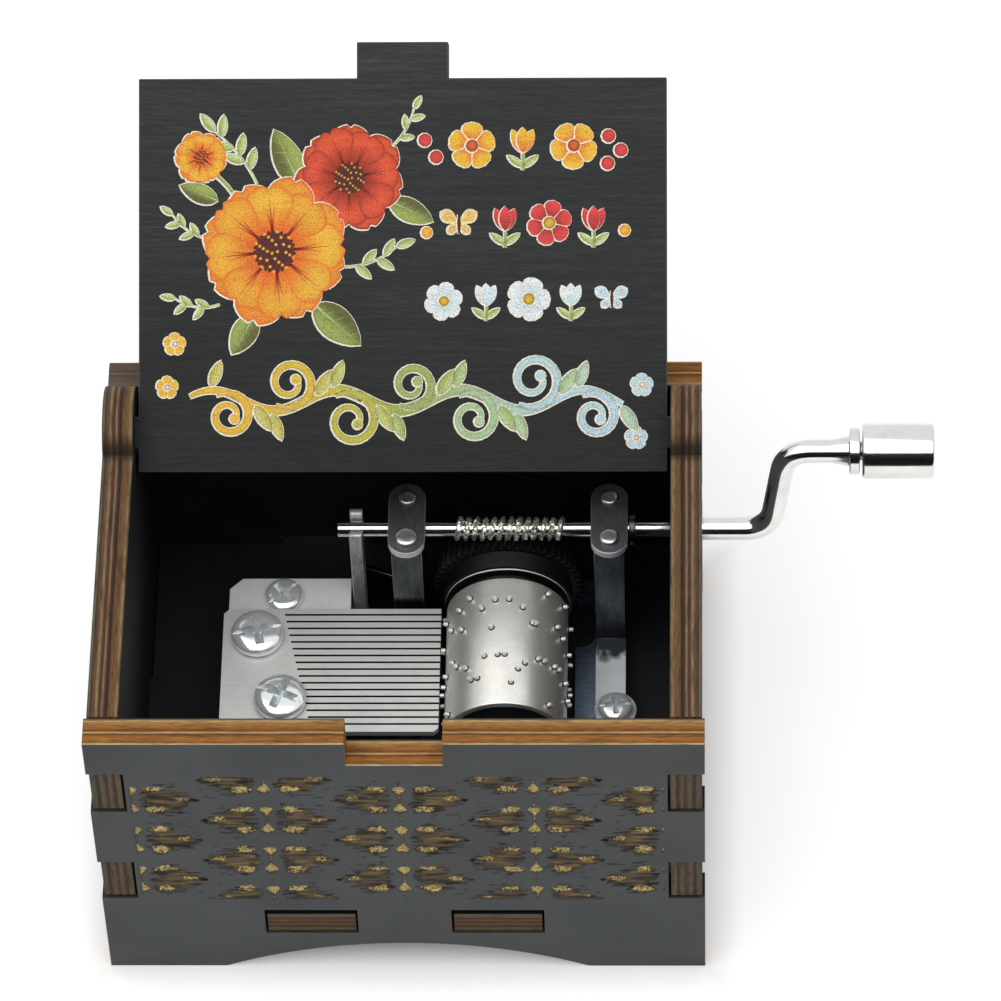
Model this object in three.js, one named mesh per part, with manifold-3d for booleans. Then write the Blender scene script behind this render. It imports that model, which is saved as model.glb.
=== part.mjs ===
// A hand-cranked music box: a finger-jointed plywood case, a lid that leans back, and an
// 18-note movement with its comb, pin cylinder, worm drive and bent crank.
// Millimetres. +X points to the crank side, +Y to the back and +Z up. Everything is placed from
// the middle of the case's footprint, and the whole is then moved so that the origin lies
// under the middle of its bounding box.

import * as THREE from "three";
import { mergeVertices } from "three/addons/utils/BufferGeometryUtils.js";
import Module from "manifold-3d";

const wasm = await Module();
wasm.setup();

// Case
const caseWidth = 64; // over the front and rear walls
const caseDepth = 52; // from the front wall's face to the rear wall's
const wallOverStraps = 12.615; // the front and side walls' top edges over the shaft's straps
const rearWallDrop = 4; // of its top edge, which the lid swings back over
const plyThickness = 3.3;
const sideInset = 0.3; // the side walls stand back from the ends of the front and rear walls
const woodGap = 0.15; // left by the saw between wooden pieces
const slotSlack = 0.25; // round each tab in its slot
const tabRecess = 0.25; // tab ends stop short of the outer faces
const sideTabHeight = 6.6;
const lowerTabCentre = 17.1; // height of the lower side tabs
const upperTabDrop = 9.1; // of the upper side tabs' centre from the walls' top
const baseTabWidth = 9.4;
const baseTabSpacing = 19.9; // between the centres of the two tabs in a row
const baseSlotHeight = 4.6; // the slots leave a shadow gap over the thinner tabs
const baseUnderside = 6.75; // height of the base panel over the ground
const archRise = 4.6; // of the cut-outs that leave four feet
const frontArchChord = 39;
const sideArchChord = 27;

// Lid and its pivot
const lidThickness = 3.2;
const lidSideGap = 0.35; // between the lid and each side wall
const pivotSetback = 10.8; // of the pivot from the rear wall's outer face
const lidTail = 4.2; // from the pivot to the rear edge
const lidTabWidth = 9.7;
const lidTabLength = 3.85;
const lidNotchWidth = 10.1; // in the front wall's top edge
const lidNotchDepth = 3.95;
const earWidth = 3.3;
const earGap = 0.2; // between an ear's corners and its round hole
const pivotDrop = 2.1; // of the pivot from the walls' top
const humpRadius = 5; // of the side walls round the pivot
const lidOpenAngle = THREE.MathUtils.degToRad(145.3);

// Movement
const seatGap = 0.05; // between flat metal faces that rest on each other
const runningGap = 0.12; // between turning metal and what carries it
const sleeveRadius = 6.55;
const sleeveLength = 16.8;
const sleeveFront = -9.5; // Y of the sleeve's front rim
const wheelFloorGap = 1.365; // from the wheel's tip to the base panel
const arborRadius = 1;
const pinHeight = 0.45;
const shaftY = 11.45;
const shaftRadius = 0.87;
const wormTurnPitch = 0.907; // single start
const wormPitchRadius = 1.2;
const wormLength = 12.4;
const wheelTeeth = 54;
const wheelThickness = 3.1;
const addendum = 0.29; // of the wheel's teeth
const wheelSideClearance = 0.9; // from the wheel's tip to the left bracket
const bedThickness = 2;
const bracketWidth = 3.3;
const footScrewShift = 0.55; // of the foot's screw to the right of its bracket's middle
const washerRadius = 2.3; // under the right foot's screw
const shaftClearance = 0.12; // in its brackets, under the straps
const strapThickness = 0.9;
const noteCount = 18;
const toothPitch = 0.885;
const combTopRise = 0.5; // comb face over the arbor's axis
const combThickness = 1.6;

// Crank
const crankThrow = 11.15;
const crankRodRadius = 1.25;
const crankAngle = THREE.MathUtils.degToRad(78); // from level at the back up towards vertical
const knobRadius = 2.97;
const knobLength = 7.65;

// Worked out from these
const wheelPitchRadius = (wheelTeeth * wormTurnPitch) / (2 * Math.PI);
const wheelTipRadius = wheelPitchRadius + addendum;
const basePanelTop = baseUnderside + plyThickness;
const arborHeight = basePanelTop + wheelFloorGap + wheelTipRadius;
const shaftHeight = arborHeight + wheelPitchRadius + wormPitchRadius;
const grooveRadius = shaftRadius + shaftClearance;
const strapBottom = shaftHeight + grooveRadius;
const wallHeight = strapBottom + strapThickness + wallOverStraps;
const innerHalfDepth = caseDepth / 2 - plyThickness;
const sideOuter = caseWidth / 2 - sideInset;
const sideInner = sideOuter - plyThickness;
const rearWallHeight = wallHeight - rearWallDrop;
const upperTabCentre = wallHeight - upperTabDrop;
const pivotY = caseDepth / 2 - pivotSetback;
const pivotHeight = wallHeight - pivotDrop;
const lidReach = pivotY + innerHalfDepth - woodGap * 2; // from the pivot to the free edge
const bedTop = basePanelTop + seatGap + bedThickness;
const sleeveRear = sleeveFront + sleeveLength;

const finish = (color, roughness, metalness) =>
  new THREE.MeshStandardMaterial({ color, roughness, metalness });
const paintedPly = finish(0x4b4d50, 0.75, 0);
const blackPly = finish(0x303134, 0.7, 0);
const nickel = finish(0xc9cbc8, 0.3, 1);
const combSteel = finish(0xb5b6b1, 0.35, 1);
const darkSteel = finish(0x6c6e70, 0.4, 1);
const zinc = finish(0xd6dadb, 0.35, 1);
const chrome = finish(0xe2e2df, 0.1, 1);
const blackPlastic = finish(0x1b1c1e, 0.45, 0);

const weld = 1e-4; // corners closer than this are one
const overrun = 1; // of cuts past the faces that they cut
const fineSides = 32;
const plainSides = 20;
const fewSides = 12;

// A closed geometry as a solid, turned the right way out, without its faces of no width.
function solid(geometry) {
  const bare = geometry.clone();
  bare.deleteAttribute("normal");
  bare.deleteAttribute("uv");
  const merged = mergeVertices(bare, weld);
  const corners = merged.index.array;
  const faces = [];
  for (let i = 0; i < corners.length; i += 3) {
    const face = [corners[i], corners[i + 1], corners[i + 2]];
    if (new Set(face).size === 3) faces.push(...face);
  }
  const vertProperties = merged.attributes.position.array;
  const make = (triVerts) =>
    new wasm.Manifold(new wasm.Mesh({ numProp: 3, vertProperties, triVerts }));
  const made = make(Uint32Array.from(faces));
  return made.volume() > 0 ? made : make(Uint32Array.from(faces.reverse()));
}

const joined = (solids) => solids.reduce((whole, next) => whole.add(next));
const without = (body, cuts) => cuts.reduce((rest, cut) => rest.subtract(cut), body);

function mesh(name, body, material) {
  const { vertProperties, triVerts } = body.getMesh();
  const geometry = new THREE.BufferGeometry();
  geometry.setAttribute("position", new THREE.BufferAttribute(new Float32Array(vertProperties), 3));
  geometry.setIndex(new THREE.BufferAttribute(new Uint32Array(triVerts), 1));
  geometry.computeVertexNormals();
  const made = new THREE.Mesh(geometry, material);
  made.name = name;
  return made;
}

// A box between two corners.
function block([x0, y0, z0], [x1, y1, z1]) {
  const box = new THREE.BoxGeometry(x1 - x0, y1 - y0, z1 - z0);
  return solid(box.translate((x0 + x1) / 2, (y0 + y1) / 2, (z0 + z1) / 2));
}

// Round bars along each axis, from one end to the other.
function barX(radius, x0, x1, y, z, sides = plainSides) {
  const bar = new THREE.CylinderGeometry(radius, radius, x1 - x0, sides).rotateZ(Math.PI / 2);
  return solid(bar.translate((x0 + x1) / 2, y, z));
}

function barY(radius, y0, y1, x, z, sides = plainSides) {
  const bar = new THREE.CylinderGeometry(radius, radius, y1 - y0, sides);
  return solid(bar.translate(x, (y0 + y1) / 2, z));
}

function barZ(radius, z0, z1, x, y, sides = plainSides) {
  const bar = new THREE.CylinderGeometry(radius, radius, z1 - z0, sides).rotateX(Math.PI / 2);
  return solid(bar.translate(x, y, (z0 + z1) / 2));
}

// A profile of [radius, height] points turned round the Z axis.
function turned(profile, sides = plainSides) {
  const points = profile.map(([radius, height]) => new THREE.Vector2(radius, height));
  return new THREE.LatheGeometry(points, sides).rotateX(Math.PI / 2);
}

// A plate of the given depth along Z with its holes cut through one by one, then put in place.
function plate(shape, depth, place, curveSegments = fewSides) {
  const made = (points, z0, z1) => {
    const sizes = { depth: z1 - z0, bevelEnabled: false };
    const flat = new THREE.ExtrudeGeometry(new THREE.Shape(points), sizes);
    return solid(place(flat.translate(0, 0, z0)));
  };
  const edges = shape.extractPoints(curveSegments);
  const holes = edges.holes.map((hole) => made(hole, -overrun, depth + overrun));
  return without(made(edges.shape, 0, depth), holes);
}

// An outline in X and Y raised from z0 to z1, one in X and Z made a plate from y0 back to y1,
// and one in Y and Z made a plate from x0 to x1.
const raised = (shape, z0, z1, segments) =>
  plate(shape, z1 - z0, (flat) => flat.translate(0, 0, z0), segments);
const uprightAcross = (shape, y0, y1, segments) =>
  plate(shape, y1 - y0, (flat) => flat.rotateX(Math.PI / 2).translate(0, y1, 0), segments);
const uprightAlong = (shape, x0, x1, segments) => {
  const stand = (flat) => flat.rotateX(Math.PI / 2).rotateZ(Math.PI / 2).translate(x0, 0, 0);
  return plate(shape, x1 - x0, stand, segments);
};

function outline(points) {
  return new THREE.Shape(points.map(([x, y]) => new THREE.Vector2(x, y)));
}

function roundHole(x, y, radius) {
  return new THREE.Path().absarc(x, y, radius, 0, 2 * Math.PI, true);
}

function squareHole(x0, y0, x1, y1) {
  const corners = [[x0, y0], [x0, y1], [x1, y1], [x1, y0]];
  return new THREE.Path(corners.map(([x, y]) => new THREE.Vector2(x, y)));
}

// A rectangle with rounded corners.
function roundedPlate(x0, y0, x1, y1, radius, kind = THREE.Shape) {
  const plate = new kind();
  plate.moveTo(x0 + radius, y0);
  plate.lineTo(x1 - radius, y0);
  plate.absarc(x1 - radius, y0 + radius, radius, -Math.PI / 2, 0, false);
  plate.lineTo(x1, y1 - radius);
  plate.absarc(x1 - radius, y1 - radius, radius, 0, Math.PI / 2, false);
  plate.lineTo(x0 + radius, y1);
  plate.absarc(x0 + radius, y1 - radius, radius, Math.PI / 2, Math.PI, false);
  plate.lineTo(x0, y0 + radius);
  plate.absarc(x0 + radius, y0 + radius, radius, Math.PI, 1.5 * Math.PI, false);
  return plate;
}

// The bottom edge of a wall, left foot to right foot, with the arch between them.
function addArchedFoot(shape, halfWidth, chord) {
  const radius = (chord ** 2 / 4 + archRise ** 2) / (2 * archRise);
  const centre = archRise - radius;
  const start = Math.atan2(-centre, -chord / 2);
  const end = Math.atan2(-centre, chord / 2);
  shape.moveTo(-halfWidth, 0);
  shape.lineTo(-chord / 2, 0);
  shape.absarc(0, centre, radius, start, end, true);
  shape.lineTo(halfWidth, 0);
}

// Front and rear walls: open slots at the ends take the side walls' tabs, closed ones the base's.
const tabCentres = [lowerTabCentre, upperTabCentre];
const slotReach = caseWidth / 2 - sideInner + slotSlack; // in from the wall's end
const baseTabCentres = [-baseTabSpacing / 2, baseTabSpacing / 2];

function endWall(height, notched) {
  const half = caseWidth / 2;
  const slotHalf = sideTabHeight / 2 + slotSlack;
  const shape = new THREE.Shape();
  addArchedFoot(shape, half, frontArchChord);
  for (const centre of tabCentres) {
    shape.lineTo(half, centre - slotHalf);
    shape.lineTo(half - slotReach, centre - slotHalf);
    shape.lineTo(half - slotReach, centre + slotHalf);
    shape.lineTo(half, centre + slotHalf);
  }
  shape.lineTo(half, height);
  if (notched) {
    shape.lineTo(lidNotchWidth / 2, height);
    shape.lineTo(lidNotchWidth / 2, height - lidNotchDepth);
    shape.lineTo(-lidNotchWidth / 2, height - lidNotchDepth);
    shape.lineTo(-lidNotchWidth / 2, height);
  }
  shape.lineTo(-half, height);
  for (const centre of [...tabCentres].reverse()) {
    shape.lineTo(-half, centre + slotHalf);
    shape.lineTo(-half + slotReach, centre + slotHalf);
    shape.lineTo(-half + slotReach, centre - slotHalf);
    shape.lineTo(-half, centre - slotHalf);
  }
  const baseSlotHalf = baseTabWidth / 2 + slotSlack;
  const slotFloor = baseUnderside - woodGap;
  shape.holes = baseTabCentres.map((x) =>
    squareHole(x - baseSlotHalf, slotFloor, x + baseSlotHalf, slotFloor + baseSlotHeight),
  );
  return shape;
}

const frontWall = mesh(
  "front_wall",
  uprightAcross(endWall(wallHeight, true), -caseDepth / 2, -innerHalfDepth),
  paintedPly,
);
const rearWall = mesh(
  "rear_wall",
  uprightAcross(endWall(rearWallHeight, false), innerHalfDepth, caseDepth / 2),
  paintedPly,
);

// Side walls: tabs front and rear, a hump round the lid's pivot, a slot for the base's side tab.
const pivotHoleRadius = Math.hypot(earWidth, lidThickness) / 2 + earGap;
const crankHoleRadius = 2.5;

function sideWall(crankHole) {
  const end = innerHalfDepth - woodGap;
  const tabEnd = caseDepth / 2 - tabRecess;
  const tabHalf = sideTabHeight / 2;
  const humpRise = wallHeight - pivotHeight;
  const rearDrop = rearWallHeight - pivotHeight;
  const shape = new THREE.Shape();
  addArchedFoot(shape, end, sideArchChord);
  for (const centre of tabCentres) {
    shape.lineTo(end, centre - tabHalf);
    shape.lineTo(tabEnd, centre - tabHalf);
    shape.lineTo(tabEnd, centre + tabHalf);
    shape.lineTo(end, centre + tabHalf);
  }
  shape.lineTo(end, rearWallHeight);
  const rearAngle = Math.asin(rearDrop / humpRadius);
  const frontAngle = Math.PI - Math.asin(humpRise / humpRadius);
  shape.absarc(pivotY, pivotHeight, humpRadius, rearAngle, frontAngle, false);
  shape.lineTo(-end, wallHeight);
  for (const centre of [...tabCentres].reverse()) {
    shape.lineTo(-end, centre + tabHalf);
    shape.lineTo(-tabEnd, centre + tabHalf);
    shape.lineTo(-tabEnd, centre - tabHalf);
    shape.lineTo(-end, centre - tabHalf);
  }
  shape.holes = [roundHole(pivotY, pivotHeight, pivotHoleRadius)];
  if (crankHole) shape.holes.push(roundHole(shaftY, shaftHeight, crankHoleRadius));
  const baseSlotHalf = baseTabWidth / 2 + slotSlack;
  const slotFloor = baseUnderside - woodGap;
  const slotTop = slotFloor + baseSlotHeight;
  shape.holes.push(squareHole(-baseSlotHalf, slotFloor, baseSlotHalf, slotTop));
  return shape;
}

const leftBoard = uprightAlong(sideWall(false), -sideOuter, -sideInner, plainSides);
const rightBoard = uprightAlong(sideWall(true), sideInner, sideOuter, plainSides);
const leftWall = mesh("left_wall", leftBoard, paintedPly);
const rightWall = mesh("right_wall", rightBoard, paintedPly);

// Base panel with two tabs front and rear and one at each side, and clear holes for three screws.
const bedRearMargin = 0.6;
const lugThickness = 2;
const lugGap = 0.5; // between a lug and what turns beside it
const wheelRear = shaftY + wheelThickness / 2;
const wheelFront = shaftY - wheelThickness / 2;
const frontLugFace = sleeveFront - lugGap;
const rearLugFace = wheelRear + lugGap;
const bedFront = frontLugFace - lugThickness - bedRearMargin;
const bedRear = rearLugFace + lugThickness + bedRearMargin;
const rightBracketGap = 1.35; // from the wheel's tip to the right bracket
const tipGap = 0.15; // between the comb's tips and the pins' path
const bassLength = 17.1; // longest tooth, at the rear
const trebleLength = 13.6;
const combBodyWidth = 6.4; // behind the longest tooth
const axisToWasher = wheelTipRadius + rightBracketGap + bracketWidth / 2 + footScrewShift;
const axisToRight = axisToWasher + washerRadius; // the movement's right side
const axisToLeft = sleeveRadius + pinHeight + tipGap + bassLength + combBodyWidth;
const rightRoomShare = 0.30823; // of the case's spare width, right of the movement
const spareWidth = 2 * sideInner - axisToLeft - axisToRight;
const cylinderX = sideInner - axisToRight - spareWidth * rightRoomShare;
const rightBracketX = cylinderX + wheelTipRadius + rightBracketGap;
const leftBracketX = cylinderX - wheelTipRadius - wheelSideClearance - bracketWidth;
const combTipX = cylinderX - sleeveRadius - pinHeight - tipGap;
const combLeft = combTipX - bassLength - combBodyWidth;
const pedestalInset = 0.35; // of its left side from the comb's
const pedestalLeft = combLeft + pedestalInset;
const bedLeft = pedestalLeft + runningGap;
const bedRight = rightBracketX + bracketWidth;
const mountScrewRadius = 1.1;
const mountScrewInset = 2.6; // from the bed's edges
const screwClearance = 0.15;
const mountPlaces = [
  [bedLeft + mountScrewInset, bedFront + mountScrewInset],
  [bedLeft + mountScrewInset, bedRear - mountScrewInset],
  [bedRight - mountScrewInset, bedFront + mountScrewInset],
];

function basePanelShape() {
  const halfX = sideInner - woodGap;
  const halfY = innerHalfDepth - woodGap;
  const tabX = sideOuter - tabRecess;
  const tabY = caseDepth / 2 - tabRecess;
  const tab = baseTabWidth / 2;
  const points = [[-halfX, -halfY]];
  const edge = [];
  for (const x of baseTabCentres) {
    edge.push([x - tab, halfY], [x - tab, tabY], [x + tab, tabY], [x + tab, halfY]);
  }
  points.push(...edge.map(([x, y]) => [x, -y]), [halfX, -halfY]);
  points.push([halfX, -tab], [tabX, -tab], [tabX, tab], [halfX, tab], [halfX, halfY]);
  points.push(...edge.map(([x, y]) => [-x, y]), [-halfX, halfY]);
  points.push([-halfX, tab], [-tabX, tab], [-tabX, -tab], [-halfX, -tab]);
  const shape = outline(points);
  shape.holes = mountPlaces.map(([x, y]) => roundHole(x, y, mountScrewRadius + screwClearance));
  return shape;
}

const basePanel = mesh("base_panel", raised(basePanelShape(), baseUnderside, basePanelTop), blackPly);

// Lid: drawn closed, from the pivot towards the front, with an ear each side.
const lidHalfWidth = sideInner - lidSideGap;
const earEnd = sideOuter - tabRecess;

function lidShape() {
  const tab = lidTabWidth / 2;
  const ear = earWidth / 2;
  const half = [
    [tab, -lidReach - lidTabLength],
    [tab, -lidReach],
    [lidHalfWidth, -lidReach],
    [lidHalfWidth, -ear],
    [earEnd, -ear],
    [earEnd, ear],
    [lidHalfWidth, ear],
    [lidHalfWidth, lidTail],
  ];
  return outline([...half, ...half.map(([x, y]) => [-x, y]).reverse()]);
}

const lid = new THREE.Group();
lid.add(mesh("lid_panel", raised(lidShape(), -lidThickness / 2, lidThickness / 2), blackPly));
lid.position.set(0, pivotY, pivotHeight);
lid.rotation.x = -lidOpenAngle;

// Bed: a cast plate with an opening under the cylinder and its wheel, and a bearing lug at each
// end of it.
const openingMargin = 0.4;
const bedCornerRadius = 2;
const openingCornerRadius = 1.5;
const lugHalfWidth = 3.2;
const lugBore = arborRadius + runningGap;
const openingMiddle = sleeveRear - seatGap; // it widens here for the wheel
const openingRear = wheelRear + openingMargin / 2;

function bearingLug(y0, y1) {
  const top = new THREE.Shape();
  top.moveTo(cylinderX - lugHalfWidth, bedTop - bedThickness / 2);
  top.lineTo(cylinderX + lugHalfWidth, bedTop - bedThickness / 2);
  top.lineTo(cylinderX + lugHalfWidth, arborHeight);
  top.absarc(cylinderX, arborHeight, lugHalfWidth, 0, Math.PI, false);
  top.holes = [roundHole(cylinderX, arborHeight, lugBore)];
  return uprightAcross(top, y0, y1, fewSides);
}

const bedShape = roundedPlate(bedLeft, bedFront, bedRight, bedRear, bedCornerRadius);
bedShape.holes = [
  roundedPlate(
    cylinderX - sleeveRadius - pinHeight - openingMargin / 2,
    sleeveFront - openingMargin / 2,
    cylinderX + sleeveRadius + pinHeight + openingMargin / 2,
    openingRear - openingCornerRadius,
    openingCornerRadius,
    THREE.Path,
  ),
  roundedPlate(
    cylinderX - wheelTipRadius - openingMargin,
    openingMiddle,
    rightBracketX - runningGap,
    openingRear,
    openingCornerRadius,
    THREE.Path,
  ),
];
const bedPlate = raised(bedShape, basePanelTop + seatGap, bedTop, fewSides / 3);

// Screws: a domed pan head with a cross recess over a plain shank.
function screw(name, [x, y], seat, headRadius, headHeight, shankRadius, shankLength, material = zinc) {
  const crownShare = 0.62;
  const rimShare = 0.55;
  const slotWidthShare = 0.26;
  const slotLengthShare = 1.15;
  const slotDepthShare = 0.45;
  const head = solid(
    turned([
      [0, 0],
      [headRadius, 0],
      [headRadius, headHeight * rimShare],
      [headRadius * crownShare, headHeight],
      [0, headHeight],
    ]),
  );
  const halfSlot = (headRadius * slotWidthShare) / 2;
  const halfLength = (headRadius * slotLengthShare) / 2;
  const floor = headHeight * (1 - slotDepthShare);
  const cross = joined([
    block([-halfLength, -halfSlot, floor], [halfLength, halfSlot, headHeight + overrun]),
    block([-halfSlot, -halfLength, floor], [halfSlot, halfLength, headHeight + overrun]),
  ]);
  const shank = barZ(shankRadius, -shankLength, floor / 2, 0, 0, fewSides);
  const made = mesh(name, head.subtract(cross).add(shank), material);
  made.position.set(x, y, seat);
  return made;
}

// Comb: a steel plate cut into teeth, the longest at the rear, with weights under the low notes.
const combTop = arborHeight + combTopRise;
const combBottom = combTop - combThickness;
const toothSlot = 0.22;
const toothThickness = 0.75;
const tipChamfer = 0.5; // on the last tooth
const combCorner = 0.6;
const weightedShare = 0.5; // of the teeth
const weightHeight = 1.6;
const weightLength = 3.4;
const weightSetback = 0.5; // from the tips
const combRearEdge = sleeveRear - toothPitch / 2;
const combFrontEdge = combRearEdge - noteCount * toothPitch;
const bassRoot = combTipX - bassLength;
const trebleRoot = combTipX - trebleLength;
const combScrewRadius = 1.3;
const rearScrewIn = 3.75; // from the comb's left edge
const rearScrewBack = 3.6; // from its rear edge
const frontScrewIn = 6.5;
const frontScrewAhead = 4.05; // from its front edge
const rearCombScrew = [combLeft + rearScrewIn, combRearEdge - rearScrewBack];
const frontCombScrew = [combLeft + frontScrewIn, combFrontEdge + frontScrewAhead];
const combScrewHole = combScrewRadius + screwClearance;

const rootAt = (y) =>
  bassRoot + ((trebleRoot - bassRoot) * (combRearEdge - y)) / (combRearEdge - combFrontEdge);

function combSolid() {
  const points = [
    [combLeft, combFrontEdge],
    [combTipX - tipChamfer, combFrontEdge],
  ];
  for (let i = noteCount - 1; i >= 0; i -= 1) {
    const rear = combRearEdge - i * toothPitch;
    const front = rear - toothPitch + (i === noteCount - 1 ? tipChamfer : toothSlot);
    points.push([combTipX, front], [combTipX, rear]);
    if (i > 0) points.push([rootAt(rear), rear], [rootAt(rear), rear + toothSlot]);
  }
  points.push([combLeft + combCorner, combRearEdge], [combLeft, combRearEdge - combCorner]);
  const plate = outline(points);
  plate.holes = [rearCombScrew, frontCombScrew].map(([x, y]) => roundHole(x, y, combScrewHole));
  const underTeeth = outline([
    [bassRoot, combRearEdge + overrun],
    [trebleRoot, combFrontEdge - overrun],
    [combTipX + overrun, combFrontEdge - overrun],
    [combTipX + overrun, combRearEdge + overrun],
  ]);
  const thinning = raised(underTeeth, combBottom - overrun, combTop - toothThickness);
  let comb = raised(plate, combBottom, combTop).subtract(thinning);
  const weighted = Math.round(noteCount * weightedShare);
  for (let i = 0; i < weighted; i += 1) {
    const rear = combRearEdge - i * toothPitch;
    const low = 1 - i / weighted;
    const right = combTipX - weightSetback;
    const depth = toothThickness + weightHeight * low;
    const weight = block(
      [right - weightLength * Math.sqrt(low), rear - toothPitch + toothSlot, combTop - depth],
      [right, rear, combTop - toothThickness / 2],
    );
    comb = comb.add(weight);
  }
  return comb;
}

// Pedestal: a raised plate under the comb's body that runs out behind it to a screw of its own.
const pedestalTop = combBottom - seatGap;
const pedestalBottom = bedTop + seatGap;
const tongueLength = 5.2; // behind the comb
const pedestalRear = combRearEdge + tongueLength;
const pedestalChamfer = 1.4;
const rootSupportGap = 0.5; // from the teeth's roots to the pedestal's edge
const fingerThickness = 1.35;
const fingerSpacing = 3.2; // between the finger and the left bracket's post
const fingerX = leftBracketX - fingerSpacing - fingerThickness;
const pedestalRight = fingerX - runningGap * 2;
const pedestalScrewRadius = 0.9;
const pedestalScrewIn = 5.95; // from its left side
const pedestalScrewAhead = 2.6; // from its rear edge
const pedestalScrew = [pedestalLeft + pedestalScrewIn, pedestalRear - pedestalScrewAhead];

function pedestalSolid() {
  const shoulder = combRearEdge + rootSupportGap;
  const shape = outline([
    [pedestalLeft, combFrontEdge],
    [rootAt(combFrontEdge) - rootSupportGap, combFrontEdge],
    [rootAt(combRearEdge) - rootSupportGap, shoulder],
    [pedestalRight, shoulder],
    [pedestalRight, pedestalRear],
    [pedestalLeft + pedestalChamfer, pedestalRear],
    [pedestalLeft, pedestalRear - pedestalChamfer],
  ]);
  shape.holes = [
    roundHole(...rearCombScrew, combScrewHole),
    roundHole(...frontCombScrew, combScrewHole),
    roundHole(...pedestalScrew, pedestalScrewRadius + screwClearance),
  ];
  return raised(shape, pedestalBottom, pedestalTop);
}

const combHeadRadius = 2.85;
const combHeadHeight = 1.5;
const combScrewLength = 5;
const pedestalHeadRadius = 2.1;
const pedestalHeadHeight = 1.1;
const mountHeadRadius = 2.1;
const mountHeadHeight = 1.2;

// Brackets: a post with a saddle for the shaft, on a foot that runs forward to a screw.
const saddleHalfDepth = 3.9; // each side of the shaft
const footThickness = 1.2;
const footReach = 9.6; // from the post's front to the foot's screw
const footEndRadius = 2;
const footScrewRadius = 0.85;
const footHeadRadius = 1.85;
const footHeadHeight = 1.1;
const washerThickness = 0.35;
const webThickness = 0.6;
const webTop = 6; // under the shaft's axis, at the finger
const webDrop = 2.15; // of its top edge towards the post
const forkFront = 0.75; // the finger's prongs, before and behind the shaft
const forkBack = 1.1;
const forkRise = 0.6; // of the straight part of the prongs over the shaft's axis
const rivetRadius = 0.6;
const rivetSpacing = 5.2;
const rivetSocketDepth = 1.5;
const footScrewY = shaftY - saddleHalfDepth - footReach;

const rivetPlaces = (x) => [
  [x, shaftY + rivetSpacing / 2],
  [x, shaftY - rivetSpacing / 2],
];

function bracket(x0) {
  const x1 = x0 + bracketWidth;
  const middle = (x0 + x1) / 2;
  const top = strapBottom - seatGap;
  const front = shaftY - saddleHalfDepth;
  const foot = pedestalBottom + footThickness;
  const screwX = middle + footScrewShift;
  const post = block([x0, front, pedestalBottom], [x1, shaftY + saddleHalfDepth, top]);
  const sole = block([x0, footScrewY, pedestalBottom], [x1, front + overrun, foot]);
  const toe = barZ(footEndRadius, pedestalBottom, foot, screwX, footScrewY);
  const groove = [
    [x0 - overrun, shaftY - grooveRadius, shaftHeight],
    [x1 + overrun, shaftY + grooveRadius, top + overrun],
  ];
  const screwHole = footScrewRadius + screwClearance;
  const cuts = [
    barX(grooveRadius, x0 - overrun, x1 + overrun, shaftY, shaftHeight),
    block(...groove),
    barZ(screwHole, pedestalBottom - overrun, foot + overrun, screwX, footScrewY),
  ];
  const socket = rivetRadius + screwClearance;
  for (const [x, y] of rivetPlaces(middle)) {
    cuts.push(barZ(socket, top - rivetSocketDepth, top + overrun, x, y, fewSides));
  }
  return without(joined([post, sole, toe]), cuts);
}

// The left bracket also carries a forked finger under the shaft's end, joined to its post by a web.
function leftBracketSolid() {
  const plain = bracket(leftBracketX);
  const forkTop = shaftHeight + forkRise;
  const inFront = shaftY - grooveRadius;
  const behind = shaftY + grooveRadius;
  const fingerShape = new THREE.Shape();
  fingerShape.moveTo(inFront - forkFront, pedestalBottom);
  fingerShape.lineTo(behind + forkBack, pedestalBottom);
  fingerShape.lineTo(behind + forkBack, forkTop);
  fingerShape.absarc(behind + forkBack / 2, forkTop, forkBack / 2, 0, Math.PI, false);
  fingerShape.lineTo(behind, shaftHeight);
  fingerShape.absarc(shaftY, shaftHeight, grooveRadius, 0, Math.PI, true);
  fingerShape.lineTo(inFront, forkTop);
  fingerShape.absarc(inFront - forkFront / 2, forkTop, forkFront / 2, 0, Math.PI, false);
  const finger = uprightAlong(fingerShape, fingerX, fingerX + fingerThickness, fewSides / 2);
  const webShape = outline([
    [fingerX + fingerThickness / 2, pedestalBottom],
    [leftBracketX + fingerThickness, pedestalBottom],
    [leftBracketX + fingerThickness, shaftHeight - webTop - webDrop],
    [leftBracketX, shaftHeight - webTop - webDrop],
    [fingerX + fingerThickness / 2, shaftHeight - webTop],
  ]);
  const web = uprightAcross(webShape, shaftY - webThickness, shaftY);
  return joined([plain, finger, web]);
}

// Straps over the shaft, held by two riveted heads each.
const strapWidth = 4;
const strapLength = 9.2;
const rivetHeadRadius = 1.15;
const rivetHeadHeight = 0.5;

function strapSolid(middle) {
  const half = strapLength / 2;
  const shape = roundedPlate(
    middle - strapWidth / 2,
    shaftY - half,
    middle + strapWidth / 2,
    shaftY + half,
    strapWidth / 2 - seatGap,
  );
  shape.holes = rivetPlaces(middle).map(([x, y]) => roundHole(x, y, rivetRadius + screwClearance));
  return raised(shape, strapBottom, strapBottom + strapThickness, fewSides / 2);
}

function rivet(name, [x, y]) {
  const crownShare = 0.6;
  const stemShare = 0.6; // of its socket's depth
  const head = turned(
    [
      [0, 0],
      [rivetHeadRadius, 0],
      [rivetHeadRadius * crownShare, rivetHeadHeight],
      [0, rivetHeadHeight],
    ],
    fewSides,
  );
  const depth = strapThickness + seatGap + rivetSocketDepth * stemShare;
  const stem = barZ(rivetRadius, -depth, rivetHeadHeight / 2, 0, 0, fewSides);
  const made = mesh(name, solid(head).add(stem), zinc);
  made.position.set(x, y, strapBottom + strapThickness + seatGap);
  return made;
}

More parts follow.
